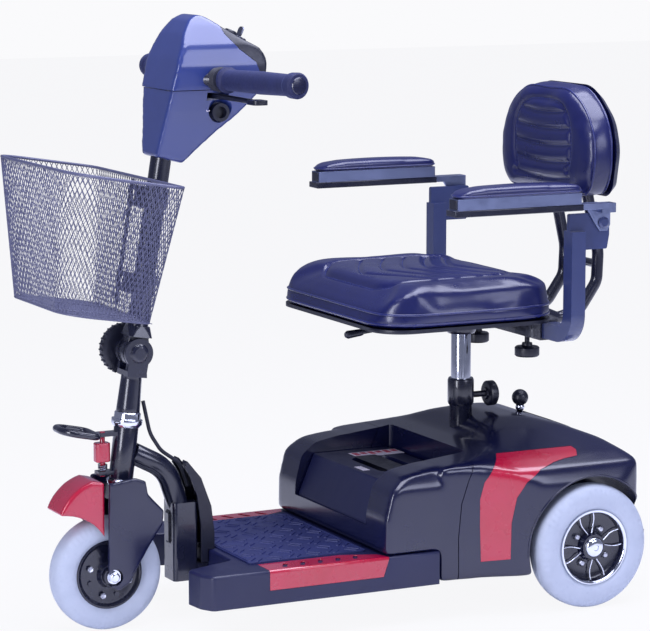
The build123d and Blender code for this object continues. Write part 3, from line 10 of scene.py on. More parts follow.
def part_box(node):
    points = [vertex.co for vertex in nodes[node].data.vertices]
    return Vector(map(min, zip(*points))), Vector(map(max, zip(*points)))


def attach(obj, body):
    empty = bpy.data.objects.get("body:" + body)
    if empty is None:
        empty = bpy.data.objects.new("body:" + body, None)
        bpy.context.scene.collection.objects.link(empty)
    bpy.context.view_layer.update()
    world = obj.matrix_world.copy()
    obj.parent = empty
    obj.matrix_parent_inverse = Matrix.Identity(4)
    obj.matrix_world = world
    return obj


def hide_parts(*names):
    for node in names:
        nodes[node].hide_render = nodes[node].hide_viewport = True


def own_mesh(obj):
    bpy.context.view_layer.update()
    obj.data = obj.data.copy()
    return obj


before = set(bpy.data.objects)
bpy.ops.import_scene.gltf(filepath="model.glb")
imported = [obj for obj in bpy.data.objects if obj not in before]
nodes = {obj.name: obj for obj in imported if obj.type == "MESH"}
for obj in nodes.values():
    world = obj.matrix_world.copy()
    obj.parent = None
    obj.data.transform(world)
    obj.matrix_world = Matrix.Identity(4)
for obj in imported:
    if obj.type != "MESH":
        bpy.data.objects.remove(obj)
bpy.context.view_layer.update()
scene = bpy.context.scene
print("stage: frame loaded,", len(nodes), "pieces of CAD")

tyreLow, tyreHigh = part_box("front_tyre")
frontX = (tyreLow.x + tyreHigh.x) / 2  # the front axle, which every x below is measured from
wheelbase = 740.0
postX = -wheelbase + 114.0
tillerLean = math.radians(9.13)


def mm(x, y, z):
    return Vector((frontX + x * 0.001, y * 0.001, z * 0.001))


def tillerSpot(x, y, z):  # x ahead of the tiller tube and z up it from its hinge, in mm
    return mm(
        -52 + x * math.cos(tillerLean) - z * math.sin(tillerLean),
        y,
        430 + x * math.sin(tillerLean) + z * math.cos(tillerLean),
    )


# camera: a long lens from the front left, a little above the seat
view = {"spot": (1598.0, 3986.2, 1135.5), "aim": (-379.23, 0.0, 464.30), "lens": 157.35}
cameraData = bpy.data.cameras.new("camera")
cameraData.lens = view["lens"]
cameraData.sensor_width = 36.0
cameraData.sensor_fit = "HORIZONTAL"
cameraData.clip_end = 60.0
camera = bpy.data.objects.new("camera", cameraData)
scene.collection.objects.link(camera)
camera.location = mm(*view["spot"])
camera.rotation_euler = (mm(*view["aim"]) - mm(*view["spot"])).to_track_quat("-Z", "Y").to_euler()
scene.camera = camera
scene.view_settings.view_transform = "Standard"


# mesh helpers
def place(mesh, name):
    made = bpy.data.objects.new(name, mesh)
    scene.collection.objects.link(made)
    return made


def fromBmesh(bm, name):
    bmesh.ops.recalc_face_normals(bm, faces=bm.faces)
    mesh = bpy.data.meshes.new(name)
    bm.to_mesh(mesh)
    bm.free()
    return place(mesh, name)


def settle(obj):  # keeps what the modifiers made
    graph = bpy.context.evaluated_depsgraph_get()
    made = bpy.data.meshes.new_from_object(obj.evaluated_get(graph))
    obj.modifiers.clear()
    obj.data = made
    return obj


def scrap(*objs):
    for obj in objs:
        bpy.data.objects.remove(obj, do_unlink=True)


def copyOf(obj, name):
    return place(obj.data.copy(), name)


def shade(obj, angle=38.0):
    obj.data.shade_smooth()
    obj.data.set_sharp_from_angle(angle=math.radians(angle))
    return obj


def finishPiece(obj, material, body, stands=(), angle=38.0):
    obj.data.materials.clear()
    obj.data.materials.append(material)
    if obj.type == "MESH":
        shade(obj, angle)
    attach(obj, body)
    if stands:
        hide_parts(*stands)
    return obj


def prism(name, points, along, low, high):  # a flat outline in mm, pulled along one axis
    order = {
        "x": lambda a, b, t: mm(t, a, b), "y": lambda a, b, t: mm(a, t, b), "z": lambda a, b,
        t: mm(a, b, t),
    }
    bm = bmesh.new()
    rings = [[bm.verts.new(order[along](a, b, level)) for a, b in points] for level in (low, high)]
    caps = [bm.faces.new(ring) for ring in rings]
    for i in range(len(points)):
        j = (i + 1) % len(points)
        bm.faces.new((rings[0][i], rings[0][j], rings[1][j], rings[1][i]))
    bmesh.ops.triangulate(bm, faces=caps)
    return fromBmesh(bm, name)


def boxSolid(name, low, high):
    outline = [(low[0], low[1]), (high[0], low[1]), (high[0], high[1]), (low[0], high[1])]
    return prism(name, outline, "z", low[2], high[2])


def boolean(obj, operation, *tools, solver="MANIFOLD"):
    for tool in tools:
        step = obj.modifiers.new("step", "BOOLEAN")
        step.operation = operation
        step.object = tool
        step.solver = solver
    settle(obj)
    scrap(*tools)
    return obj


def melt(obj, voxel, passes, factor=0.5):  # even mesh, then rounded edges
    remesh = obj.modifiers.new("remesh", "REMESH")
    remesh.mode = "VOXEL"
    remesh.voxel_size = voxel
    smooth = obj.modifiers.new("smooth", "SMOOTH")
    smooth.factor = factor
    smooth.iterations = passes
    return settle(obj)


def bevelled(obj, width, segments=2, angle=35.0):
    weld = obj.modifiers.new("weld", "WELD")
    weld.merge_threshold = 0.00002
    step = obj.modifiers.new("bevel", "BEVEL")
    step.width = width
    step.segments = segments
    step.limit_method = "ANGLE"
    step.angle_limit = math.radians(angle)
    return step


def lathe(name, origin, axis, outline, segments=96, closed=True, ripple=None):
    # outline holds (distance along the axis, radius) in mm
    along = Vector(axis).normalized()
    side = along.orthogonal().normalized()
    up = along.cross(side)
    bm = bmesh.new()
    rings = []
    for step, (distance, radius) in enumerate(outline):
        middle = Vector(origin) + along * distance * 0.001
        if radius < 0.01:
            rings.append([bm.verts.new(middle)])
            continue
        ring = []
        for k in range(segments):
            turn = 2 * math.pi * k / segments
            reach = radius + (ripple(step, k) if ripple else 0.0)
            ring.append(
                bm.verts.new(middle + (side * math.cos(turn) + up * math.sin(turn)) * reach * 0.001)
            )
        rings.append(ring)
    pairs = list(zip(rings, rings[1:]))
    if closed:
        pairs.append((rings[-1], rings[0]))
    for first, second in pairs:
        if len(first) == 1 and len(second) == 1:
            continue
        for k in range(segments):
            n = (k + 1) % segments
            if len(first) == 1:
                bm.faces.new((first[0], second[k], second[n]))
            elif len(second) == 1:
                bm.faces.new((first[k], first[n], second[0]))
            else:
                bm.faces.new((first[k], first[n], second[n], second[k]))
    return fromBmesh(bm, name)


def rods(name, lines, radius, sides=2, smooth=False, closed=False):  # round wires, made as one mesh
    curve = bpy.data.curves.new(name, "CURVE")
    curve.dimensions = "3D"
    curve.bevel_depth = radius * 0.001
    curve.bevel_resolution = sides
    curve.resolution_u = 8
    curve.use_fill_caps = not closed
    for points in lines:
        spline = curve.splines.new("NURBS" if smooth else "POLY")
        spline.points.add(len(points) - 1)
        for point, spot in zip(spline.points, points):
            point.co = (*spot, 1.0)
        if smooth:
            spline.order_u = 3 if not closed else 4
            spline.use_endpoint_u = not closed
        spline.use_cyclic_u = closed
    holder = bpy.data.objects.new(name + "Line", curve)
    scene.collection.objects.link(holder)
    graph = bpy.context.evaluated_depsgraph_get()
    mesh = bpy.data.meshes.new_from_object(holder.evaluated_get(graph))
    scrap(holder)
    return place(mesh, name)


def joinPieces(name, objs):
    bm = bmesh.new()
    for obj in objs:
        bm.from_mesh(obj.data)
    scrap(*objs)
    mesh = bpy.data.meshes.new(name)
    bm.to_mesh(mesh)
    bm.free()
    return place(mesh, name)


def treeOf(obj):
    graph = bpy.context.evaluated_depsgraph_get()
    return BVHTree.FromObject(obj, graph)


def roundedRing(halfX, halfY, corner, steps=8):  # rounded rectangle about 0, in mm
    ring = []
    for sx, sy, start in ((1, 1, 0), (-1, 1, 90), (-1, -1, 180), (1, -1, 270)):
        for k in range(steps + 1):
            turn = math.radians(start + 90 * k / steps)
            x = sx * (halfX - corner) + corner * math.cos(turn)
            y = sy * (halfY - corner) + corner * math.sin(turn)
            ring.append((x, y))
    return ring


# materials
def linear(code):  # "#rrggbb" as the linear colour that Blender's sockets take
    parts = [int(code[k:k + 2], 16) / 255 for k in (1, 3, 5)]
    return tuple(c / 12.92 if c <= 0.04045 else ((c + 0.055) / 1.055) ** 2.4 for c in parts) + (1.0,)


def addNode(tree, kind, settings=None, links=None):
    node = tree.nodes.new(kind)
    for key, value in (settings or {}).items():
        if isinstance(key, int) or key in node.inputs:
            node.inputs[key].default_value = value
        else:
            setattr(node, key, value)
    for key, socket in (links or {}).items():
        tree.links.new(socket, node.inputs[key])
    return node


def surface(name, look):
    made = bpy.data.materials.new(name)
    made.use_nodes = True
    tree = made.node_tree
    tree.nodes.clear()
    spot = addNode(tree, "ShaderNodeTexCoord").outputs["Object"]
    patch = addNode(
        tree, "ShaderNodeTexNoise", {"Scale": 1000 / look["patchMm"], "Detail": 3.0}, {"Vector": spot},
    )
    tint = addNode(
        tree, "ShaderNodeMix",
        {"data_type": "RGBA", 6: linear(look["base"]), 7: linear(look["worn"])},
        {0: patch.outputs["Fac"]},
    ).outputs[2]
    if look.get("dust"):  # pale specks, such as the fleck in a moulding or scuffs
        speck = addNode(tree, "ShaderNodeTexVoronoi", {"Scale": 1000 / look["dustMm"]}, {"Vector": spot})
        near = addNode(
            tree, "ShaderNodeMapRange", {1: 0.0, 2: 0.35, 3: 1.0, 4: 0.0}, {0: speck.outputs["Distance"]},
        )
        share = addNode(
            tree, "ShaderNodeMath", {"operation": "MULTIPLY", 1: look["dustShare"]}, {0: near.outputs[0]},
        )
        tint = addNode(
            tree, "ShaderNodeMix", {"data_type": "RGBA", 7: linear(look["dust"])},
            {0: share.outputs[0], 6: tint},
        ).outputs[2]
    gloss = addNode(
        tree, "ShaderNodeTexNoise", {"Scale": 1000 / (look["patchMm"] * 0.37), "Detail": 5.0},
        {"Vector": spot},
    )
    low, high = look["rough"]
    rough = addNode(
        tree, "ShaderNodeMapRange", {1: 0.3, 2: 0.7, 3: low, 4: high}, {0: gloss.outputs["Fac"]},
    )
    grainKind = look.get("grain", "noise")
    if grainKind == "hide":
        grain = addNode(
            tree, "ShaderNodeTexVoronoi", {"Scale": 1000 / look["grainMm"], "feature": "DISTANCE_TO_EDGE"},
            {"Vector": spot}
        ).outputs["Distance"]
    elif grainKind == "brushed":
        stretch = addNode(tree, "ShaderNodeMapping", {"Scale": look["stretch"]}, {"Vector": spot})
        grain = addNode(
            tree, "ShaderNodeTexNoise", {"Scale": 1000 / look["grainMm"], "Detail": 3.0},
            {"Vector": stretch.outputs["Vector"]}
        ).outputs["Fac"]
    else:
        grain = addNode(
            tree, "ShaderNodeTexNoise", {"Scale": 1000 / look["grainMm"], "Detail": 4.0}, {"Vector": spot}
        ).outputs["Fac"]
    bump = addNode(
        tree, "ShaderNodeBump", {"Strength": look["bump"], "Distance": look["grainMm"] * 0.0004},
        {"Height": grain}
    )
    settings = {"Metallic": look.get("metallic", 0.0)}
    if not look.get("metallic"):
        settings["IOR"] = look["ior"]
    if look.get("coat"):
        settings.update({"Coat Weight": look["coat"], "Coat Roughness": look["coatRough"]})
    if look.get("sheen"):
        settings.update(
            {"Sheen Weight": look["sheen"], "Sheen Roughness": 0.4, "Sheen Tint": linear(look["sheenTint"])}
        )
    shader = addNode(
        tree, "ShaderNodeBsdfPrincipled", settings,
        {"Base Color": tint, "Roughness": rough.outputs[0], "Normal": bump.outputs["Normal"]},
    )
    addNode(tree, "ShaderNodeOutputMaterial", None, {"Surface": shader.outputs[0]})
    return made


# black stoved enamel over steel tube: deep gloss with the faint ripple of sprayed paint
stovedEnamel = surface("stovedEnamel", {
    "base": "#0c0e1c", "worn": "#171a30", "patchMm": 60, "rough": (0.2, 0.3), "ior": 1.5,
    "grainMm": 2.2, "bump": 0.06, "coat": 0.5, "coatRough": 0.08,
})
# decorative chrome on steel: a mirror with fine polishing haze
chromePlate = surface("chromePlate", {
    "base": "#dfe2ea", "worn": "#c9cdd8", "patchMm": 40, "rough": (0.06, 0.16), "metallic": 1.0,
    "grainMm": 0.8, "bump": 0.03,
})
# zinc-plated bolts: pale grey metal, less clear than chrome
zincPlate = surface("zincPlate", {
    "base": "#c4c6cf", "worn": "#9fa2b0", "patchMm": 8, "rough": (0.25, 0.42), "metallic": 1.0,
    "grainMm": 0.6, "bump": 0.1,
})
# injection-moulded ABS, dark indigo: satin shell with a very fine spark-eroded grain
mouldedAbs = surface("mouldedAbs", {
    "base": "#090c28", "worn": "#0e1238", "patchMm": 160, "rough": (0.2, 0.28), "ior": 1.53,
    "grainMm": 1.1, "bump": 0.05, "coat": 0.35, "coatRough": 0.12,
})
# the same resin with a coarser texture for the floor pan, so that it looks a little duller
texturedAbs = surface("texturedAbs", {
    "base": "#0e1234", "worn": "#141943", "patchMm": 120, "rough": (0.34, 0.48), "ior": 1.53,
    "grainMm": 1.6, "bump": 0.14,
})
# painted ABS head: blue lacquer under a clear coat, which gives broad soft highlights
blueLacquer = surface("blueLacquer", {
    "base": "#21306a", "worn": "#2a3b7c", "patchMm": 140, "rough": (0.28, 0.36), "ior": 1.5,
    "grainMm": 0.9, "bump": 0.03, "coat": 0.8, "coatRough": 0.1,
})
# candy red lacquer: saturated, glossy, with a magenta cast where it faces the light
redLacquer = surface("redLacquer", {
    "base": "#a00018", "worn": "#b3043a", "patchMm": 90, "rough": (0.24, 0.32), "ior": 1.5,
    "grainMm": 0.9, "bump": 0.03, "coat": 1.0, "coatRough": 0.06, "sheen": 0.1, "sheenTint": "#ff5ad0",
})
# non-marking polyurethane tyre: pale blue-grey, dull, with scuffs
greyTyre = surface("greyTyre", {
    "base": "#a6aebf", "worn": "#b8bfce", "patchMm": 30, "rough": (0.5, 0.66), "ior": 1.5,
    "grainMm": 1.2, "bump": 0.2, "dust": "#98a1b8", "dustMm": 9, "dustShare": 0.25,
})
# moulded rubber: near black, dull, finely pitted
blackRubber = surface("blackRubber", {
    "base": "#0d0f1c", "worn": "#181b2e", "patchMm": 24, "rough": (0.55, 0.72), "ior": 1.52,
    "grainMm": 0.9, "bump": 0.3,
})
# closed-cell foam grip: soft matt navy-black with an open, pitted skin
foamRubber = surface("foamRubber", {
    "base": "#14183a", "worn": "#1d2350", "patchMm": 16, "rough": (0.62, 0.8), "ior": 1.45,
    "grainMm": 0.8, "bump": 0.45, "sheen": 0.2, "sheenTint": "#7f8fd0",
})
# ribbed deck mat: rubber with a satin skin
deckRubber = surface("deckRubber", {
    "base": "#1b2250", "worn": "#232b62", "patchMm": 40, "rough": (0.42, 0.56), "ior": 1.5,
    "grainMm": 1.4, "bump": 0.3,
})
# moulded nylon knobs and levers: satin black
mouldedNylon = surface("mouldedNylon", {
    "base": "#0b0d1a", "worn": "#171a2c", "patchMm": 18, "rough": (0.3, 0.42), "ior": 1.53,
    "grainMm": 0.8, "bump": 0.12,
})
# PVC upholstery over foam: glossy navy with a pebbled hide grain
navyVinyl = surface("navyVinyl", {
    "base": "#0d1240", "worn": "#131950", "patchMm": 70, "rough": (0.26, 0.34), "ior": 1.5,
    "grain": "hide", "grainMm": 2.4, "bump": 0.1, "coat": 0.3, "coatRough": 0.16,
})
# polyester thread, given a colour a little lighter than the vinyl as a painted highlight along the seams,
# so that the seams can be read
seamThreadPaintedHighlight = surface("seamThreadPaintedHighlight", {
    "base": "#3c4684", "worn": "#343d76", "patchMm": 6, "rough": (0.5, 0.6), "ior": 1.5,
    "grainMm": 0.7, "bump": 0.3,
})
# vinyl welt round the cushions: same hide, given a lighter base colour than the vinyl as a painted
# highlight for its tight curve
weltVinylPaintedHighlight = surface("weltVinylPaintedHighlight", {
    "base": "#151b50", "worn": "#1c2460", "patchMm": 30, "rough": (0.26, 0.34), "ior": 1.5,
    "grainMm": 1.2, "bump": 0.08, "coat": 0.4, "coatRough": 0.12,
})
# powder-coated uprights of the armrests: steel blue with a pearl
pearlPaint = surface("pearlPaint", {
    "base": "#28325c", "worn": "#323d6a", "patchMm": 80, "rough": (0.3, 0.42), "ior": 1.5,
    "grainMm": 1.5, "bump": 0.1, "coat": 0.6, "coatRough": 0.1,
})
# anodised aluminium channel: pale satin metal with drawn lines along it
anodised = surface("anodisedAluminium", {
    "base": "#8f98b8", "worn": "#7d86a6", "patchMm": 50, "rough": (0.28, 0.4), "metallic": 1.0,
    "grain": "brushed", "stretch": (0.04, 1.0, 1.0), "grainMm": 0.7, "bump": 0.1,
})
# dipped basket wire: grey-violet PVC skin, half gloss
dippedWire = surface("dippedWire", {
    "base": "#4b4d68", "worn": "#5a5c78", "patchMm": 20, "rough": (0.35, 0.5), "ior": 1.52,
    "grainMm": 0.8, "bump": 0.08,
})
# spring steel, oiled
springSteel = surface("springSteel", {
    "base": "#8d90a0", "worn": "#6f7282", "patchMm": 6, "rough": (0.25, 0.4), "metallic": 1.0,
    "grainMm": 0.6, "bump": 0.08,
})
# printed polyester label: off-white, smooth
labelFilm = surface("labelFilm", {
    "base": "#e9e4ee", "worn": "#dcd3e2", "patchMm": 12, "rough": (0.3, 0.4), "ior": 1.5,
    "grainMm": 0.6, "bump": 0.02,
})
# pink printed bars on that label
labelInk = surface("labelInk", {
    "base": "#c9465f", "worn": "#b93a55", "patchMm": 8, "rough": (0.35, 0.45), "ior": 1.5,
    "grainMm": 0.6, "bump": 0.02,
})
print("stage: materials,", len(bpy.data.materials))

# the CAD pieces whose shape is right get their finish here
dressed = {
    "stovedEnamel": (stovedEnamel, 0.5, [
        "main_frame", "tiller_tube", "basket_bracket", "steering_stem", "front_fork", "backrest_frame",
        "seat_bracket",
        "front_ring", "front_rim",
    ]),
    "nylon": (mouldedNylon, 0.5, [
        "tilt_dial", "throttle_lever", "speed_dial", "horn_button", "left_arm_knob", "right_arm_knob",
        "post_knob",
        "battery_handle", "swivel_lever", "charger_socket", "tube_shroud", "drive_unit", "seat_pan",
    ]),
    "chrome": (chromePlate, 0.3, ["headset_cups", "seat_post", "front_axle"]),
    "pearl": (pearlPaint, 0.8, ["left_arm_base", "right_arm_base"]),
    "anodised": (anodised, 0.6, ["left_arm_frame", "right_arm_frame"]),
    "steel": (springSteel, 0.0, ["front_bearings", "ignition_key"]),
    "abs": (texturedAbs, 1.2, ["floor_pan", "battery_case"]),
    "red": (redLacquer, 0.4, ["deck_trims", "lock_lever"]),
    "rubber": (blackRubber, 0.6, ["frame_cable", "anti_tippers"]),
    "foam": (foamRubber, 0.0, ["handle_grips"]),
    "mat": (deckRubber, 0.4, ["floor_mat"]),
    "shell": (mouldedAbs, 1.0, ["backrest_shell"]),
}
for material, soft, names in dressed.values():
    for name in names:
        nodes[name].data.materials.clear()
        nodes[name].data.materials.append(material)
        if soft:
            bevelled(nodes[name], soft * 0.001)
print("stage: CAD pieces dressed")


# body covers: one moulded form, parted where the front cover lifts off
body = {
    "frontSide": [
        (-386, 113.5), (-388, 170), (-399, 214), (-424, 234), (-470, 242), (-560, 247), (-560, 62),
        (-484, 62), (-484, 113.5),
    ],
    "rearSide": [
        (-484, 62), (-484, 243), (-552, 250), (-600, 260), (-630, 280), (-660, 290), (-704, 288),
        (-752, 277), (-800, 258), (-830, 234), (-845, 190), (-845, 128), (-640, 128), (-636, 62),
    ],
    "rearPlan": [
        (-484, 196), (-556, 204), (-615, 222), (-655, 229), (-800, 230), (-830, 216), (-843, 186),
        (-847, 120),
    ],
    "rearEnd": [(230, 20), (230, 205), (219, 230), (190, 247), (110, 276), (50, 293)],
    "frontEnd": [(196, 20), (197, 214), (184, 238), (150, 252)],
    "seam": [(-514, 40), (-513, 130), (-518, 185), (-530, 222), (-548, 262), (-560, 400)],
    "arch": 112.5, "archFrom": 176, "slotX": -786, "wellX": -472, "wheelHeight": 100,
}


def mirroredEnd(points):
    return points + [(-y, z) for y, z in reversed(points)]


frontForm = prism("frontForm", body["frontSide"], "y", -196, 196)
boolean(frontForm, "INTERSECT", prism("endView", mirroredEnd(body["frontEnd"]), "x", -600, -300))
melt(frontForm, 0.004, 14)
rearForm = prism("rearForm", body["rearSide"], "y", -230, 230)
planOutline = body["rearPlan"] + [(x, -y) for x, y in reversed(body["rearPlan"])]
boolean(rearForm, "INTERSECT", prism("planView", planOutline, "z", 0, 400))
boolean(rearForm, "INTERSECT", prism("rearEndView", mirroredEnd(body["rearEnd"]), "x", -900, -400))
melt(rearForm, 0.004, 16)
boolean(rearForm, "UNION", frontForm)
melt(rearForm, 0.0036, 5)
seamLine = body["seam"]
frontLimits = prism(
    "frontLimits", [(x + 0.7, z) for x, z in seamLine] + [(-300, 400), (-300, 40)], "y", -300, 300,
)
rearLimits = prism(
    "rearLimits", [(x - 0.7, z) for x, z in seamLine] + [(-900, 400), (-900, 40)], "y", -300, 300,
)
frontCover = copyOf(rearForm, "frontCover")
boolean(frontCover, "INTERSECT", frontLimits)
rearCover = rearForm
rearCover.name = "rearCover"
boolean(rearCover, "INTERSECT", rearLimits)

wellCorner = prism(
    "wellRoom", [(x + body["wellX"], y) for x, y in roundedRing(92, 127, 10, 4)], "z", 150, 330,
)
frontMouth = prism(
    "frontMouth", [(-560, 150), (-372, 150), (-372, 330), (-560, 330)], "y", -127, 127
)
boolean(wellCorner, "UNION", frontMouth)
frontInside = boxSolid("frontInside", (-512, -186, 40), (-484, 186, 110))
boolean(frontCover, "DIFFERENCE", copyOf(wellCorner, "wellFront"), frontInside)
finishPiece(frontCover, mouldedAbs, "frame", ["front_body_cover"])

archCutters = []
for side in (1, -1):
    archCutters.append(lathe(
        "archCutter", mm(-wheelbase, side * body["archFrom"], body["wheelHeight"]), (0, side, 0),
        [(0, 0), (0, body["arch"]), (90, body["arch"]), (90, 0)], segments=96, closed=False,
    ))
slotRoom = prism("slotRoom", [(x + body["slotX"], y) for x, y in roundedRing(20, 58, 12, 5)], "z", 225, 330)
leverRoom = lathe(
    "leverRoom", mm(-wheelbase + 2, 0, 200), (0, 0, 1), [(0, 0), (0, 9), (130, 9), (130, 0)], 32, False,
)
rearInside = boxSolid("rearInside", (-836, -168, 40), (-525, 168, 205))
boolean(rearCover, "DIFFERENCE", rearInside, wellCorner, *archCutters, slotRoom, leverRoom)

flash = {
    "outline": [
        (-551, 90), (-549, 150), (-549, 190), (-556, 216), (-572, 238), (-596, 254), (-630, 264),
        (-672, 266), (-708, 263), (-728, 257), (-735, 250), (-728, 243), (-702, 241), (-680, 238),
        (-650, 231), (-622, 214), (-606, 190), (-598, 150), (-597, 92),
    ],
    "inner": 172, "gap": 0.5,
}
flashPieces = []
for side, label in ((1, "left"), (-1, "right")):
    low, high = sorted((side * flash["inner"], side * 300))
    panel = copyOf(rearCover, label + "Flash")
    boolean(panel, "INTERSECT", prism("flashCut", flash["outline"], "y", low, high))
    flashPieces.append(panel)
for side in (1, -1):
    low, high = sorted((side * (flash["inner"] - 1), side * 300))
    groove = prism("flashGroove", flash["outline"], "y", low, high)
    grow = groove.modifiers.new("grow", "DISPLACE")
    grow.strength = flash["gap"] * 0.001
    grow.mid_level = 0.0
    settle(groove)
    boolean(rearCover, "DIFFERENCE", groove)
finishPiece(rearCover, mouldedAbs, "frame", ["rear_body_cover"])
finishPiece(joinPieces("sideFlashes", flashPieces), redLacquer, "frame", ["side_flashes"])

# thin rolled lips round both wheel arches and the slot, laid on the cover's own surface
coverTree = treeOf(rearCover)
lipLines = []
for side in (1, -1):
    line = []
    for k in range(61):
        turn = math.radians(-4 + 172 * k / 60)
        spot = mm(-wheelbase + 114.5 * math.cos(turn), side * 300, 100 + 114.5 * math.sin(turn))
        hit = coverTree.ray_cast(spot, Vector((0, -side, 0)), 0.16)[0]
        if hit:
            line.append(hit)
    lipLines.append(line)
finishPiece(rods("archLips", lipLines, 1.5, sides=3), mouldedAbs, "frame")
slotLine = []
for x, y in roundedRing(21.5, 59.5, 13, 5):
    hit = coverTree.ray_cast(mm(x + body["slotX"], y, 400), Vector((0, 0, -1)), 0.25)[0]
    if hit:
        slotLine.append(hit)
finishPiece(rods("slotLip", [slotLine], 1.6, closed=True), mouldedNylon, "frame")
print("stage: body covers")


# control head: blue shells and a dark console
head = {
    "side": [
        (-79, 731), (-88, 790), (-94, 838), (-104, 880), (-119, 917), (-133, 937), (-148, 945),
        (-162, 941), (-185, 926), (-213, 909), (-243, 893), (-252, 876), (-250, 852), (-238, 822),
        (-205, 790), (-172, 764), (-124, 719),
    ],
    "rear": [(25, 700), (32, 736), (46, 785), (61, 832), (64, 868), (58, 898), (40, 930), (26, 947)],
    "joint": 832.0,
    "console": [
        (-176, 990), (-178, 938), (-186, 916), (-206, 893), (-232, 873), (-238, 858), (-236, 800),
        (-330, 800), (-330, 990),
    ],
}
headForm = prism("headForm", head["side"], "y", -66, 66)
boolean(headForm, "INTERSECT", prism("headRear", mirroredEnd(head["rear"]), "x", -300, 0))
melt(headForm, 0.003, 12)
barHeight = 848
barX = -52 - 418 * math.tan(tillerLean)
throttleX = barX - 36
barRoomLines = []
for side in (1, -1):
    barRoomLines.append([mm(barX - 30, side * 40, barHeight), mm(barX - 54, side * 90, barHeight)])
barRoom = rods("barRoom", barRoomLines, 16.5, sides=8)
slotRooms = [
    boxSolid(
        "throttleRoom", (throttleX - 33, min(side * 36, side * 90), 816),
        (throttleX + 3, max(side * 36, side * 90), 828),
    )
    for side in (1, -1)
]
socketFlare = lathe(
    "socketFlare", mm(-176, 40, 797), (0, 1, 0), [(0, 0), (0, 15), (8, 17), (22, 30), (30, 30), (30, 0)],
    48, False
)
lowerShell = copyOf(headForm, "headLowerShell")
boolean(lowerShell, "INTERSECT", boxSolid("below", (-400, -200, 600), (0, 200, head["joint"] - 0.6)))
middle = mm(-150, 0, 0)
for vertex in lowerShell.data.vertices:  # the lower shell tucks in under the upper one
    share = min(1.0, max(0.0, (vertex.co.z - 0.80) / 0.03))
    vertex.co.y *= 1 - 0.035 * share
    vertex.co.x = middle.x + (vertex.co.x - middle.x) * (1 - 0.02 * share)
boolean(lowerShell, "DIFFERENCE", socketFlare, *slotRooms)
upperForm = headForm
boolean(upperForm, "INTERSECT", boxSolid("above", (-400, -200, head["joint"] + 0.6), (0, 200, 1000)))
boolean(upperForm, "DIFFERENCE", barRoom)
console = copyOf(upperForm, "dashConsole")
boolean(console, "INTERSECT", prism("consoleCut", head["console"], "y", -100, 100))
for vertex in console.data.vertices:
    vertex.co.y *= 0.965
upperShell = upperForm
upperShell.name = "headUpperShell"
consoleRoom = prism("consoleRoom", [(x + 0.8, z - 0.8) for x, z in head["console"]], "y", -100, 100)
boolean(upperShell, "DIFFERENCE", consoleRoom)
finishPiece(lowerShell, blueLacquer, "tiller", ["head_lower_shell"])
finishPiece(upperShell, blueLacquer, "tiller", ["head_upper_shell"])
finishPiece(console, mouldedNylon, "tiller", ["dash_panel"])
collars = []
for side in (1, -1):
    collars.append(lathe(
        "collar", mm(barX - 47, side * 58, barHeight), (-0.1445, side * 1.0, 0.01),
        [
            (0, 12), (0, 17.5), (5, 18.5), (7, 17), (11, 18.8), (13, 17), (17, 18.8), (19, 17.2),
            (26, 18.6), (28, 12),
        ],
        segments=64,
    ))
finishPiece(joinPieces("barCollars", collars), blackRubber, "tiller")
gripCaps = []
for side in (1, -1):
    gripCaps.append(lathe(
        "gripCap", mm(-199.6, side * 271, 849.9), (-0.1445, side * 1.0, 0.01),
        [(0, 0), (0, 12.6), (5.4, 12.6), (6.6, 11.6), (7.0, 8), (7.2, 0)], segments=48, closed=False,
    ))
finishPiece(joinPieces("gripCaps", gripCaps), mouldedAbs, "tiller")
emblem = rods("socketMark", [[mm(-152, 50.4, 803), mm(-155, 50.2, 799), mm(-159, 50.2, 800)]], 0.9)
finishPiece(emblem, labelFilm, "tiller")
print("stage: control head")


# wire basket
basket = {
    "low": 56.0, "high": 268.0, "back": 29.0, "depth": (144.0, 179.0), "half": (128.0, 190.0),
    "frontCorner": (50.0, 66.0), "backCorner": (22.0, 26.0), "cells": 118, "rows": 26, "wire": 0.62,
}


def basketRing(share, inset=0.0, count=236):  # evenly spaced points of the outline at a height share
    depth, half, front, back = (
        (1 - share) * low + share * high
        for low, high in (basket["depth"], basket["half"], basket["frontCorner"], basket["backCorner"])
    )
    height = basket["low"] + share * (basket["high"] - basket["low"])
    half -= inset
    nearX, farX = basket["back"] + inset, basket["back"] + depth - inset
    front, back = max(front - inset, 2), max(back - inset, 2)
    corners = [
        (farX, half, front, 0), (nearX, half, back, 90), (nearX, -half, back, 180),
        (farX, -half, front, 270),
    ]
    outline = []
    for x, y, radius, start in corners:
        sx = 1 if start in (0, 270) else -1
        sy = 1 if start in (0, 90) else -1
        for k in range(13):
            turn = math.radians(start + 7.5 * k)
            outline.append(
                (x - sx * radius + radius * math.cos(turn), y - sy * radius + radius * math.sin(turn))
            )
    outline.append(outline[0])
    steps = [0.0]
    for first, second in zip(outline, outline[1:]):
        steps.append(steps[-1] + math.dist(first, second))
    ring = []
    cursor = 0
    for k in range(count):
        want = steps[-1] * k / count
        while steps[cursor + 1] < want:
            cursor += 1
        part = (want - steps[cursor]) / (steps[cursor + 1] - steps[cursor])
        a, b = outline[cursor], outline[cursor + 1]
        ring.append(tillerSpot(a[0] + (b[0] - a[0]) * part, a[1] + (b[1] - a[1]) * part, height))
    return ring


cells, rows = basket["cells"], basket["rows"]
levels = [basketRing(k / rows, 1.0, 2 * cells) for k in range(rows + 1)]
meshLines = []
for start in range(cells):
    for way in (1, -1):
        meshLines.append([levels[k][(2 * start + way * k) % (2 * cells)] for k in range(rows + 1)])
wireSides = rods("wireSides", meshLines, basket["wire"], sides=0)
floorLines = []
pitch = 8.5
outlineHalf = basket["half"][0] - 2


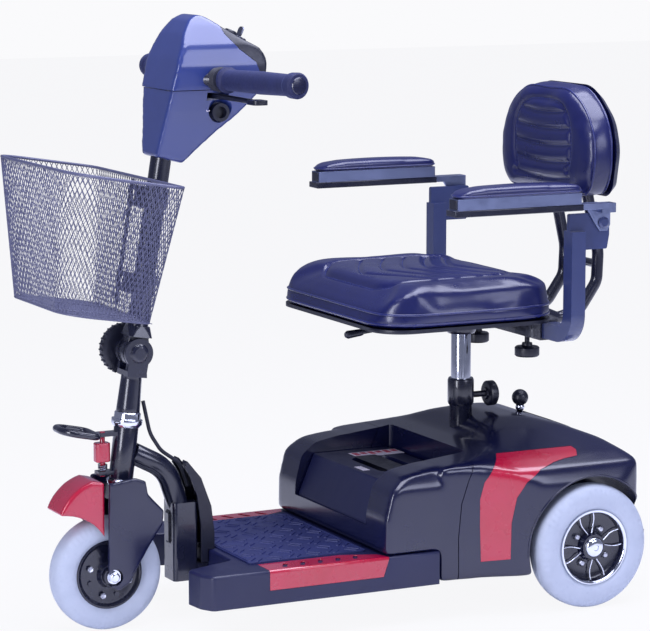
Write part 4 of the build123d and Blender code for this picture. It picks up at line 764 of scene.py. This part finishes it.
def floorInside(x, y):  # whether a spot lies within the basket's floor
    depth, half, corner = basket["depth"][0] - 2, outlineHalf, basket["frontCorner"][0]
    if not (2 <= x <= depth and abs(y) <= half):
        return False
    if x > depth - corner and abs(y) > half - corner:
        return math.hypot(x - depth + corner, abs(y) - half + corner) <= corner
    return True


for way in (1, -1):
    for k in range(-40, 60):
        line = []
        for step in range(0, 260, 4):
            x = float(step) * 0.7
            y = k * pitch + way * x - way * 60
            if floorInside(x, y):
                line.append(tillerSpot(basket["back"] + x, y, basket["low"] + 1.5))
        if len(line) > 1:
            floorLines.append(line)
wireFloor = rods("wireFloor", floorLines, basket["wire"], sides=0)
rim = rods("rim", [basketRing(0.994, 2.3, 160)], 2.3, sides=3, closed=True)
lowRim = rods("lowRim", [basketRing(0.008, 1.8, 160)], 1.8, sides=3, closed=True)
crossX = (basket["back"] + 3, basket["back"] + basket["depth"][0] - 3)
cross = [[tillerSpot(x, y, basket["low"] + 2.4) for x in crossX] for y in (-60, 60)]
crossRods = rods("crossRods", cross, 1.8, sides=3)
wireBasket = joinPieces("wireBasket", [wireSides, wireFloor, rim, lowRim, crossRods])
finishPiece(wireBasket, dippedWire, "basket", ["basket"], angle=80)
hooks = []
for y in (-40, 40):
    for z in (84, 204):
        hooks.append(
            rods(
                "hook", [[tillerSpot(23, y, z + 8), tillerSpot(31, y, z + 8), tillerSpot(31, y, z - 6)]],
                1.8, sides=3,
            )
        )
finishPiece(joinPieces("basketHooks", hooks), dippedWire, "tiller", angle=80)
print("stage: basket")


# wheels
wheel = {
    "rearHalf": [
        (-18.5, 60), (-21, 63), (-23.3, 68), (-23.5, 74), (-23.3, 84), (-22.2, 89), (-20, 93.5),
        (-17.5, 96), (-13.5, 98.2), (-9, 99.4), (-4, 99.9),
    ],
    "frontHalf": [
        (-17.5, 54), (-20.4, 57), (-22.3, 62), (-22.4, 72), (-21.4, 78), (-19.4, 82.5), (-16.4, 85.6),
        (-12, 87.6), (-7, 88.6), (-2, 88.95),
    ],
    "rearRibs": (5, 6, 15, 16), "frontRibs": (4, 5, 14, 15), "ribDepth": (1.5, 1.3), "height": (100, 89),
}


def tread(name, hub, axis, half, ribRows, depth):  # a tyre turned from half its section, with shoulder ribs
    section = half + [(-along, radius) for along, radius in reversed(half)]
    return lathe(
        name, hub, axis, section, segments=240,
        ripple=lambda step, k: -depth if step in ribRows and k % 4 in (0, 1) else 0.0,
    )


for side, label in ((1, "left"), (-1, "right")):
    hub = mm(-wheelbase, side * 212.5, wheel["height"][0])
    rearTread = tread(
        label + "RearTread", hub, (0, side, 0), wheel["rearHalf"], wheel["rearRibs"], wheel["ribDepth"][0]
    )
    finishPiece(rearTread, greyTyre, label + "_wheel", [label + "_rear_tyre"], angle=30)
    barrel = lathe(
        "barrel", hub, (0, side, 0),
        [
            (-20, 55), (-20, 59.6), (19, 59.6), (20, 56), (17, 54), (9.5, 53.5), (8, 50), (7.4, 30),
            (9, 24), (15, 22), (20.5, 20), (20.5, 8), (-150, 8), (-150, 9.9), (-42, 9.9), (-42, 19),
            (2, 19), (2, 54),
        ],
        segments=96,
    )
    dividers = []
    for turn in range(4):
        for lean in (-1, 1):
            line = []
            for k in range(7):
                reach = 21 + 33.5 * k / 6
                angle = math.radians(
                    90 * turn + 78 + lean * (
                        13.5 - 4.5 * (1 - k / 6)
                    ) + 5 * math.sin(k / 6 * math.pi) * lean
                )
                lift = 12.4 + 3.6 * abs(k / 6 - 0.5)
                line.append(
                    hub + Vector((reach * math.cos(angle), side * lift, reach * math.sin(angle))) * 0.001
                )
            dividers.append(line)
    spokes = rods("spokes", dividers, 1.15, sides=3)
    rimRing = lathe(
        "rimRing", hub, (0, side, 0),
        [(19.2, 55.2), (21.3, 56.0), (22.4, 57.8), (22.2, 59.8), (20.5, 60.8), (18.8, 60.2)], segments=120,
    )
    cap = lathe(
        "cap", hub, (0, side, 0),
        [(15, 0), (15, 16.8), (21, 16.4), (25, 14.6), (27, 11), (27.2, 5), (25.6, 4.2), (25.6, 0)],
        segments=64, closed=False,
    )
    bolts = []
    for turn in range(4):
        angle = math.radians(90 * turn + 33)
        spot = hub + Vector((31 * math.cos(angle), side * 7.5, 31 * math.sin(angle))) * 0.001
        bolts.append(
            lathe(
                "bolt", spot, (0, side, 0), [(0, 0), (0, 5.6), (4.5, 5.2), (6.6, 3.4), (7.2, 0)], 20, False,
            )
        )
    finishPiece(barrel, stovedEnamel, label + "_wheel", [label + "_rear_rim"])
    finishPiece(
        joinPieces(label + "RimBright", [spokes, rimRing, cap]), chromePlate, label + "_wheel",
    )
    finishPiece(joinPieces(label + "WheelBolts", bolts), zincPlate, label + "_wheel")

frontTread = tread(
    "frontTread", mm(0, 0, wheel["height"][1]), (0, 1, 0), wheel["frontHalf"], wheel["frontRibs"],
    wheel["ribDepth"][1]
)
finishPiece(frontTread, greyTyre, "front_wheel", ["front_tyre"], angle=30)
frontBits = []
for side in (1, -1):
    for turn in range(4):
        angle = math.radians(90 * turn + 20)
        spot = mm(34 * math.cos(angle), side * 18.2, wheel["height"][1] + 34 * math.sin(angle))
        frontBits.append(
            lathe(
                "nut", spot, (0, side, 0), [(0, 0), (0, 5.2), (3.4, 5.0), (4.2, 3.6), (3.0, 2.2), (3.0, 0)],
                6, False,
            )
        )
finishPiece(joinPieces("frontRimNuts", frontBits), zincPlate, "front_wheel")
print("stage: wheels")

# fork covers, fender and the small pieces round the front wheel
def arcThrough(first, middle, last, count):  # points of the circle through three spots
    (ax, ay), (bx, by), (cx, cy) = first, middle, last
    d = 2 * (ax * (by - cy) + bx * (cy - ay) + cx * (ay - by))
    ux = ((ax**2 + ay**2) * (by - cy) + (bx**2 + by**2) * (cy - ay) + (cx**2 + cy**2) * (ay - by)) / d
    uy = ((ax**2 + ay**2) * (cx - bx) + (bx**2 + by**2) * (ax - cx) + (cx**2 + cy**2) * (bx - ax)) / d
    start = math.atan2(ay - uy, ax - ux)
    sweep = (math.atan2(cy - uy, cx - ux) - start + math.pi) % (2 * math.pi) - math.pi
    reach = math.dist((ax, ay), (ux, uy))
    return [
        (ux + reach * math.cos(start + sweep * k / count), uy + reach * math.sin(start + sweep * k / count))
        for k in range(count + 1)
    ]


fork = {
    "outline": [
        (7, 236), (-36, 241), (-52, 235), (-56, 214), (-82, 186), (-80, 166), (-56, 131), (-42, 108),
        (-24, 78), (-8, 68), (6, 74), (10, 100),
    ],
    "inner": 34.0, "outer": 43.0, "hole": 13.0, "axleHeight": 89.0,
}
covers = []
for side in (1, -1):
    low, high = sorted((side * fork["inner"], side * fork["outer"]))
    cover = prism("forkSide", fork["outline"], "y", low, high)
    melt(cover, 0.0017, 10)
    room = lathe(
        "axleRoom", mm(0, side * 20, fork["axleHeight"]), (0, side, 0),
        [(0, 0), (0, fork["hole"]), (40, fork["hole"]), (40, 0)], 48, False,
    )
    covers.append(boolean(cover, "DIFFERENCE", room))
finishPiece(joinPieces("forkCovers", covers), mouldedAbs, "steering", ["fork_covers"])
nuts = []
for side in (1, -1):
    nuts.append(lathe(
        "axleNut", mm(0, side * 34.5, fork["axleHeight"]), (0, side, 0),
        [(0, 0), (0, 11), (2, 11), (2, 8.5), (7, 8.2), (9.6, 6), (10.4, 3), (10.5, 0)], 32, False,
    ))
finishPiece(joinPieces("axleNuts", nuts), chromePlate, "steering")

fender = {"half": 31.6, "room": 97.0, "roomHalf": 29.4}
fenderSide = [(11.5, 150), (11.5, 236), (30, 240)]
fenderSide += arcThrough((30, 240), (64, 221), (84, 190), 10)[1:]
fenderSide += arcThrough((84, 190), (50, 184), (11.5, 150), 10)[1:-1]
frontFender = prism("frontFender", fenderSide, "y", -fender["half"], fender["half"])
melt(frontFender, 0.0022, 14)
wheelRoom = lathe(
    "wheelRoom", mm(0, -fender["roomHalf"], fork["axleHeight"]), (0, 1, 0),
    [(0, 0), (0, fender["room"]), (2 * fender["roomHalf"], fender["room"]), (2 * fender["roomHalf"], 0)],
    128, False,
)
boolean(frontFender, "DIFFERENCE", wheelRoom)
finishPiece(frontFender, redLacquer, "steering", ["front_fender"])

spring = {"spot": (2.0, 0.0), "low": 250.5, "high": 259.2, "coil": 6.4, "wire": 1.15, "turns": 3.0}
coil = []
for k in range(97):
    turn = 2 * math.pi * spring["turns"] * k / 96
    coil.append(mm(
        spring["spot"][0] + spring["coil"] * math.cos(turn),
        spring["spot"][1] + spring["coil"] * math.sin(turn),
        spring["low"] + (spring["high"] - spring["low"]) * k / 96,
    ))
lockSpring = rods("lockSpring", [coil], spring["wire"], sides=3)
finishPiece(lockSpring, springSteel, "steering", ["lock_spring"], angle=80)
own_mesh(lockSpring)

lever = {"spot": (-738, 0, 209)}
stem = lathe(
    "freewheelStem", mm(*lever["spot"]), (0, 0, 1),
    [(0, 0), (0, 4), (72, 4), (76, 7), (80, 7.4), (83, 6), (83, 0)], 32, False,
)
finishPiece(stem, chromePlate, "freewheel_lever")
knobOutline = [(80, 0), (80, 6), (84, 7)] + [
    (95 + 13.6 * math.sin(math.radians(a)), 13.6 * math.cos(math.radians(a))) for a in range(-50, 90, 10)
] + [(108.6, 0)]
ball = lathe("freewheelBall", mm(*lever["spot"]), (0, 0, 1), knobOutline, 48, False)
finishPiece(ball, mouldedNylon, "freewheel_lever", ["freewheel_lever"])
print("stage: fork, fender and levers")


# deck tread: short raised bars laid as broken diamonds
deck = {"x": (-366, -190), "y": (-132, 132), "top": 115.4, "rise": 1.5, "pitch": 33.0, "bar": (21.0, 4.6)}


def treadBar(bm, x, y, turn, length, width):
    ends = []
    for level, share in ((deck["top"], 1.0), (deck["top"] + deck["rise"], 0.62)):
        ring = []
        for u, v in ((1, 1), (-1, 1), (-1, -1), (1, -1)):
            a = u * (length / 2 - (1 - share) * 2.4)
            b = v * width / 2 * share
            ring.append(bm.verts.new(mm(
                x + a * math.cos(turn) - b * math.sin(turn), y + a * math.sin(turn) + b * math.cos(turn),
                level,
            )))
        ends.append(ring)
    bm.faces.new(ends[1])
    bm.faces.new(ends[0][::-1])
    for k in range(4):
        bm.faces.new((ends[0][k], ends[0][(k + 1) % 4], ends[1][(k + 1) % 4], ends[1][k]))


bars = bmesh.new()
columns = int((deck["x"][1] - deck["x"][0]) / deck["pitch"]) + 1
lanes = int((deck["y"][1] - deck["y"][0]) / deck["pitch"]) + 1
for column in range(columns):
    for lane in range(lanes):
        x = deck["x"][0] + 6 + deck["pitch"] * column
        y = deck["y"][0] + deck["pitch"] * (lane + 0.02)
        way = 1 if (column + lane) % 2 else -1
        for shift in (-5.6, 5.6):
            treadBar(
                bars, x + shift * 0.7, y - way * shift * 0.7, math.radians(45) * way, deck["bar"][0],
                deck["bar"][1],
            )
treadBar(bars, -181.5, 0, math.radians(90), 270, 3.2)
treadBar(bars, -374.5, 0, math.radians(90), 270, 3.2)
finishPiece(fromBmesh(bars, "matTread"), deckRubber, "frame", angle=20)

# battery top, labels and the small fittings round the mast
fittings = {"batteryTop": 216.0}
plateLow = fittings["batteryTop"] - 0.2
labels = joinPieces("batteryLabels", [
    boxSolid("label", (-556, -98, plateLow), (-470, -63, plateLow + 0.6)),
    boxSolid("label", (-441, 5, plateLow), (-429, 37, plateLow + 0.6)),
])
finishPiece(labels, labelFilm, "battery")
inkBars = [
    boxSolid(
        "ink", (-553 + 14 * k, -94, plateLow + 0.5), (-544 + 14 * k, -80 + 5 * (k % 2), plateLow + 0.9),
    ) for k in range(6)
]
finishPiece(joinPieces("labelBars", inkBars), labelInk, "battery")
# a flat near-black sheet on the battery top: painted shade standing in for the handle well, which is not
# cut as a recess
well = boxSolid("handleWellShadeSheet", (-505, -70, plateLow), (-466, 70, plateLow + 0.7))
finishPiece(well, mouldedNylon, "battery")
latch = boxSolid("mastLatch", (-604, -8, 206), (-596, 26, 216))
bevelled(latch, 0.0015)
finishPiece(latch, redLacquer, "frame")
pinSpot = mm(postX, 20, 262)
clipPin = joinPieces("clipPin", [
    lathe("pin", pinSpot, (0, 1, 0), [(0, 0), (0, 3.2), (14, 3.2), (15.5, 2), (16, 0)], 24, False),
    rods("loop", [[
        pinSpot + Vector(
            (0.010 * math.cos(a), 0.013, 0.010 * math.sin(a) - 0.010)
        ) for a in [k * math.pi / 8 for k in range(16)]
    ]], 1.1, sides=2, closed=True),
])
finishPiece(clipPin, chromePlate, "frame")
print("stage: deck and battery details")


# upholstery
def filleted(points, radius, steps=6):  # the outline with every corner rounded
    made = []
    count = len(points)
    for k, corner in enumerate(points):
        corner = Vector(corner)
        before = Vector(points[k - 1]) - corner
        after = Vector(points[(k + 1) % count]) - corner
        reach = min(radius, before.length * 0.48, after.length * 0.48)
        a = corner + before.normalized() * reach
        b = corner + after.normalized() * reach
        for s in range(steps + 1):
            t = s / steps
            made.append(tuple(a * (1 - t) ** 2 + corner * 2 * t * (1 - t) + b * t * t))
    return made


def spots(obj):  # every vertex as a row of numbers
    flat = np.empty(len(obj.data.vertices) * 3)
    obj.data.vertices.foreach_get("co", flat)
    return flat.reshape(-1, 3)


def moveTo(obj, places):  # and back again
    obj.data.vertices.foreach_set("co", places.ravel())
    obj.data.update()


def plump(obj, held, pressure, cap):  # air pressure in a cloth skin, with the held vertices pinned
    start = spots(obj)
    group = obj.vertex_groups.new(name="held")
    group.add([int(i) for i in np.nonzero(held(start))[0]], 1.0, "REPLACE")
    cloth = obj.modifiers.new("cloth", "CLOTH")
    cloth.settings.vertex_group_mass = "held"
    cloth.settings.use_pressure = True
    cloth.settings.uniform_pressure_force = pressure
    cloth.settings.effector_weights.gravity = 0.0
    cloth.settings.quality = 5
    cloth.settings.tension_stiffness = 12.0
    cloth.settings.compression_stiffness = 12.0
    cloth.settings.bending_stiffness = 0.8
    cloth.collision_settings.use_collision = False
    cloth.point_cache.frame_start = 1
    cloth.point_cache.frame_end = 20
    for step in range(1, 21):
        scene.frame_set(step)
    graph = bpy.context.evaluated_depsgraph_get()
    made = obj.evaluated_get(graph).to_mesh()
    flat = np.empty(len(made.vertices) * 3)
    made.vertices.foreach_get("co", flat)
    change = flat.reshape(-1, 3) - start
    obj.modifiers.clear()
    obj.vertex_groups.clear()
    scene.frame_set(1)
    length = np.linalg.norm(change, axis=1, keepdims=True)
    change = change * np.minimum(1.0, cap / np.maximum(length, 1e-9))
    moveTo(obj, start + change)
    calm = obj.modifiers.new("calm", "SMOOTH")  # foam under the skin holds no sharp creases
    calm.factor = 0.6
    calm.iterations = 14
    settle(obj)


def finer(obj):  # one more subdivision
    step = obj.modifiers.new("finer", "SUBSURF")
    step.levels = 1
    return settle(obj)


def seamDistance(flat, lines):  # how far each 2-D spot lies from the nearest seam
    nearest = np.full(len(flat), 1e9)
    for line in lines:
        for a, b in zip(line, line[1:]):
            a, b = np.array(a), np.array(b)
            way = b - a
            t = np.clip(((flat - a) @ way) / (way @ way), 0, 1)[:, None]
            nearest = np.minimum(nearest, np.linalg.norm(flat - (a + way * t), axis=1))
    return nearest


def stitches(lines, long=0.0046, gap=0.0016):  # splits lines on the surface into thread dashes
    dashes = []
    for line in lines:
        run = 0.0
        current = []
        for a, b in zip(line, line[1:]):
            length = (b - a).length
            steps = max(1, int(length / 0.0008))
            for k in range(steps):
                spot = a.lerp(b, k / steps)
                phase = (run + length * k / steps) % (long + gap)
                if phase < long:
                    current.append(spot)
                elif current:
                    if len(current) > 2:
                        dashes.append([current[0], current[len(current) // 2], current[-1]])
                    current = []
            run += length
    return dashes


def dense(line, step=4.0):  # the same line with a point every few millimetres
    made = []
    for a, b in zip(line, line[1:]):
        count = max(1, int(math.dist(a, b) / step))
        made += [(a[0] + (b[0] - a[0]) * k / count, a[1] + (b[1] - a[1]) * k / count) for k in range(count)]
    return made + [line[-1]]


def ringAt(
    tree, centre, plane, around, far=0.6, lift=0.0,
):  # the outline met by rays cast in from all round
    found = []
    for k in range(around):
        turn = 2 * math.pi * k / around
        out = plane(math.cos(turn), math.sin(turn))
        hit = tree.ray_cast(centre + out * far, -out)[0]
        if hit:
            found.append(hit + out * lift)
    return found


seat = {
    "x": (postX - 79, postX + 248), "half": 203.0, "z": (464.0, 525.0), "corner": 62.0,
    "panel": (postX + 84.5, 118.0, 135.0, 60.0), "chevrons": 5, "pitch": 40.0, "apexBack": 60.0,
    "frontCorner": 64.0,
}
seatMiddle = (seat["x"][0] + seat["x"][1]) / 2
halfX = (seat["x"][1] - seat["x"][0]) / 2
reachX, reachY = halfX - 3, seat["half"] - 4
plan = []
for sx, sy, start, corner in (
    (1, 1, 0, seat["frontCorner"]), (-1, 1, 90, seat["corner"]), (-1, -1, 180, seat["corner"]),
    (1, -1, 270, seat["frontCorner"]),
):
    for k in range(13):
        turn = math.radians(start + 7.5 * k)
        plan.append((
            seatMiddle + sx * (reachX - corner) + corner * math.cos(turn),
            sy * (reachY - corner) + corner * math.sin(turn),
        ))
seatForm = prism("seatCushion", plan, "z", seat["z"][0], seat["z"][1])
sideView = (
    [(seat["x"][0] - 5, seat["z"][0] - 1), (seat["x"][0] - 5, seat["z"][1] - 10)]
    + [(seat["x"][0] + 14, seat["z"][1] - 2), (seatMiddle - 60, seat["z"][1])]
    + [(seat["x"][1] - 92, seat["z"][1] - 1)]
    + arcThrough(
        (seat["x"][1] - 60, seat["z"][1] - 4), (seat["x"][1] - 18, seat["z"][1] - 21),
        (seat["x"][1] + 1, 486), 8,
    )
    + [(seat["x"][1] + 1, seat["z"][0] - 1)]
)
boolean(seatForm, "INTERSECT", prism("seatSide", sideView, "y", -240, 240))
melt(seatForm, 0.0052, 7)
plump(seatForm, lambda p: p[:, 2] < 0.472, 4.0, 0.007)
finer(seatForm)
centreX, panelX, panelY, panelCorner = seat["panel"]
panelRing = [(x + centreX, y) for x, y in roundedRing(panelX, panelY, panelCorner, 8)]
chevrons = []
for k in range(seat["chevrons"]):
    apex = centreX + panelX - 24 - seat["pitch"] * k
    wing = panelY - 8
    chevrons.append(
        [(apex - seat["apexBack"] * (abs(y) / wing) ** 1.35, y) for y in np.linspace(-wing, wing, 25)]
    )
chevrons = [[(max(x, centreX - panelX + 4), y) for x, y in line] for line in chevrons]
seatSeams = [panelRing + panelRing[:1]] + chevrons


def pressSeams(obj, lines, axes, origin, outward, seam):
    # sinks the skin along the seams and lets the fields between them rise a little
    places = spots(obj)
    distance = seamDistance(places[:, axes] * 1000 - np.array(origin), lines)
    facing = np.clip((places[:, outward] - seam["from"]) / 0.006, 0, 1)
    sunk = seam["depth"] * np.exp(-((distance / seam["width"]) ** 2))
    raised = seam["puff"] * np.clip(distance / seam["field"], 0, 1)
    places[:, outward] -= facing * (sunk - raised) * 0.001
    moveTo(obj, places)


def trim(name, lines, radius, material, body, closed=False):  # thread or welt laid on a cushion
    made = rods(name, lines, radius, sides=3 if closed else 1, closed=closed)
    return finishPiece(made, material, body, angle=80)


seatSeam = {"depth": 4.4, "width": 4.2, "puff": 0.6, "field": 16, "from": 0.5}
pressSeams(seatForm, seatSeams, [0, 1], (frontX * 1000, 0.0), 2, seatSeam)
finishPiece(seatForm, navyVinyl, "seat", ["seat_cushion"], angle=180)
seatTree = treeOf(seatForm)


def dropOn(tree, line):
    made = []
    for x, y in line:
        hit = tree.ray_cast(mm(x, y, 700), Vector((0, 0, -1)))[0]
        if hit:
            made.append(hit + Vector((0, 0, 0.0003)))
    return made


threadRadius = 0.45
seatThread = stitches([dropOn(seatTree, dense(line)) for line in seatSeams])
trim("seatStitches", seatThread, threadRadius, seamThreadPaintedHighlight, "seat")
seatWelts = []
for height in (471.5, 487.0):
    ring = ringAt(seatTree, mm(seatMiddle, 0, height), lambda a, b: Vector((a, b, 0)), 220, lift=0.0003)
    seatWelts.append(ring)
trim("seatWelts", seatWelts, 2.0, weltVinylPaintedHighlight, "seat", closed=True)
print("stage: seat cushion")

rest = {
    "arch": [
        (139, 640), (155, 720), (138, 774), (80, 824), (-80, 824), (-138, 774), (-155, 720), (-139, 640),
    ],
    "x": (-822.0, -779.0), "radius": 60.0,
}
restOutline = filleted(rest["arch"], rest["radius"], 8)
inset = [(y * 0.975, 732 + (z - 732) * 0.965) for y, z in restOutline]
restForm = prism("backCushion", inset, "x", *rest["x"])
melt(restForm, 0.0048, 7)
plump(restForm, lambda p: p[:, 0] < frontX + (rest["x"][0] + 6) * 0.001, 4.0, 0.006)
finer(restForm)
archLine = filleted([(-88, 656), (-88, 795), (88, 795), (88, 656)], 70, 8)[5:-5]
restSeams = [archLine]
for level in (773, 747, 720, 693, 667):
    reach = 84 if level < 760 else 66
    restSeams.append([(y, level + 5 * (y / reach) ** 2) for y in np.linspace(-reach, reach, 21)])


restSeam = {
    "depth": 4.4, "width": 4.4, "puff": 0.8, "field": 14, "from": frontX + (rest["x"][1] - 16) * 0.001,
}
pressSeams(restForm, restSeams, [1, 2], (0.0, 0.0), 0, restSeam)
finishPiece(restForm, navyVinyl, "backrest", ["backrest_cushion"], angle=180)
restTree = treeOf(restForm)
restThreads = []
for line in restSeams:
    hits = [
        restTree.ray_cast(Vector((frontX - 0.6, y * 0.001, z * 0.001)), Vector((-1, 0, 0)))[0]
        for y, z in dense(line)
    ]
    restThreads.append([hit + Vector((0.0003, 0, 0)) for hit in hits if hit])
trim("backStitches", stitches(restThreads), threadRadius, seamThreadPaintedHighlight, "backrest")
restWelts = []
for depth in (rest["x"][0] + 4, rest["x"][1] - 8):
    restWelts.append(ringAt(restTree, mm(depth, 0, 735), lambda a, b: Vector((0, a, b)), 200, lift=0.0003))
trim("backWelts", restWelts, 1.9, weltVinylPaintedHighlight, "backrest", closed=True)
print("stage: backrest cushion")

arm = {"x": (postX - 76, postX + 149), "y": (212.5, 261.5), "z": (668.0, 685.5)}
for side, label in ((1, "left"), (-1, "right")):
    middleX = sum(arm["x"]) / 2
    middleY = side * sum(arm["y"]) / 2
    ring = [
        (x + middleX, y + middleY)
        for x, y in roundedRing(
            (arm["x"][1] - arm["x"][0]) / 2 - 1, (arm["y"][1] - arm["y"][0]) / 2 - 1, 21, 6,
        )
    ]
    pad = prism(label + "ArmPad", ring, "z", *arm["z"])
    crown = [
        (arm["x"][0] - 2, arm["z"][0] - 1), (arm["x"][0] - 2, 679), (arm["x"][0] + 22, 683), (middleX, 685),
        (arm["x"][1] - 46, 684), (arm["x"][1] - 20, 681), (arm["x"][1] + 1, 673),
        (arm["x"][1] + 1, arm["z"][0] - 1),
    ]
    boolean(
        pad, "INTERSECT",
        prism("padSide", crown, "y", min(side * 200, side * 275), max(side * 200, side * 275)),
    )
    melt(pad, 0.003, 6)
    plump(pad, lambda p: p[:, 2] < 0.671, 4.0, 0.004)
    finer(pad)
    finishPiece(pad, navyVinyl, label + "_armrest", [label + "_arm_pad"], angle=180)
    padTree = treeOf(pad)
    padRing = ringAt(
        padTree, mm(middleX, middleY, 672.5), lambda a, b: Vector((a, b, 0)), 160, far=0.3, lift=0.0002,
    )
    trim(label + "PadWelt", [padRing], 1.3, weltVinylPaintedHighlight, label + "_armrest", closed=True)
    low, high = sorted((side * 221.7, side * 252.3))
    skin = boxSolid(label + "RailSkin", (postX - 75, low, 640.6), (postX + 151.4, high, 650.2))
    bevelled(skin, 0.0012)
    finishPiece(skin, stovedEnamel, label + "_armrest")
    low, high = sorted((side * 226, side * 248))
    plug = boxSolid(label + "ChannelPlug", (-484, low, 652), (-477.6, high, 666.5))
    bevelled(plug, 0.0012)
    finishPiece(plug, mouldedNylon, label + "_armrest")
print("stage: armrests")


# floor and light
paleFloor = surface("paleFloor", {
    "base": "#fbfbfd", "worn": "#f6f6fa", "patchMm": 400, "rough": (0.75, 0.85), "ior": 1.45,
    "grainMm": 3.0, "bump": 0.01,
})
floorMesh = bmesh.new()
for x, y in ((-14, -14), (14, -14), (14, 14), (-14, 14)):
    floorMesh.verts.new((x, y, 0))
floorMesh.verts.ensure_lookup_table()
floorMesh.faces.new(floorMesh.verts)
floor = fromBmesh(floorMesh, "studioFloor")
paper = paleFloor.node_tree  # most of the floor's brightness is its own, so that it stays an even white
lit = next(node for node in paper.nodes if node.type == "BSDF_PRINCIPLED")
glow = addNode(paper, "ShaderNodeEmission", {"Color": linear("#fafafc"), "Strength": 1.0})
eye = addNode(paper, "ShaderNodeLightPath")
share = addNode(
    paper, "ShaderNodeMath", {"operation": "MULTIPLY", 1: 0.96}, {0: eye.outputs["Is Camera Ray"]},
)
both = addNode(
    paper, "ShaderNodeMixShader", None, {0: share.outputs[0], 1: lit.outputs[0], 2: glow.outputs[0]},
)
paper.links.new(
    both.outputs[0], next(node for node in paper.nodes if node.type == "OUTPUT_MATERIAL").inputs[0],
)
floor.data.materials.append(paleFloor)

lamps = {
    "overhead": {
        "spot": (-0.3, 0.3, 2.3), "aim": (-0.1, 0.0, 0.4), "size": (2.4, 1.8), "watts": 95.0,
        "tint": "#e6e9ff",
    },
    "front": {
        "spot": (2.4, 1.3, 1.1), "aim": (0.0, 0.0, 0.5), "size": (0.7, 1.7), "watts": 42.0,
        "tint": "#eef0ff",
    },
    "side": {
        "spot": (-1.4, 3.2, 1.6), "aim": (-0.3, 0.0, 0.4), "size": (1.6, 1.2), "watts": 30.0,
        "tint": "#e2e6ff",
    },
}
for name, lamp in lamps.items():
    data = bpy.data.lights.new(name, "AREA")
    data.shape = "RECTANGLE"
    data.size, data.size_y = lamp["size"]
    data.energy = lamp["watts"]
    data.color = linear(lamp["tint"])[:3]
    light = bpy.data.objects.new(name, data)
    scene.collection.objects.link(light)
    light.location = lamp["spot"]
    light.rotation_euler = (Vector(lamp["aim"]) - Vector(lamp["spot"])).to_track_quat("-Z", "Y").to_euler()

world = bpy.data.worlds.new("studio")
scene.world = world
world.use_nodes = True
sky = world.node_tree
sky.nodes.clear()
seen = addNode(sky, "ShaderNodeBackground", {"Color": linear("#fafafc"), "Strength": 1.0})
around = addNode(sky, "ShaderNodeBackground", {"Color": linear("#c9cff0"), "Strength": 0.34})
path = addNode(sky, "ShaderNodeLightPath")
blend = addNode(
    sky, "ShaderNodeMixShader", None,
    {0: path.outputs["Is Camera Ray"], 1: around.outputs[0], 2: seen.outputs[0]}
)
addNode(sky, "ShaderNodeOutputWorld", None, {"Surface": blend.outputs[0]})
print("stage: floor and light")
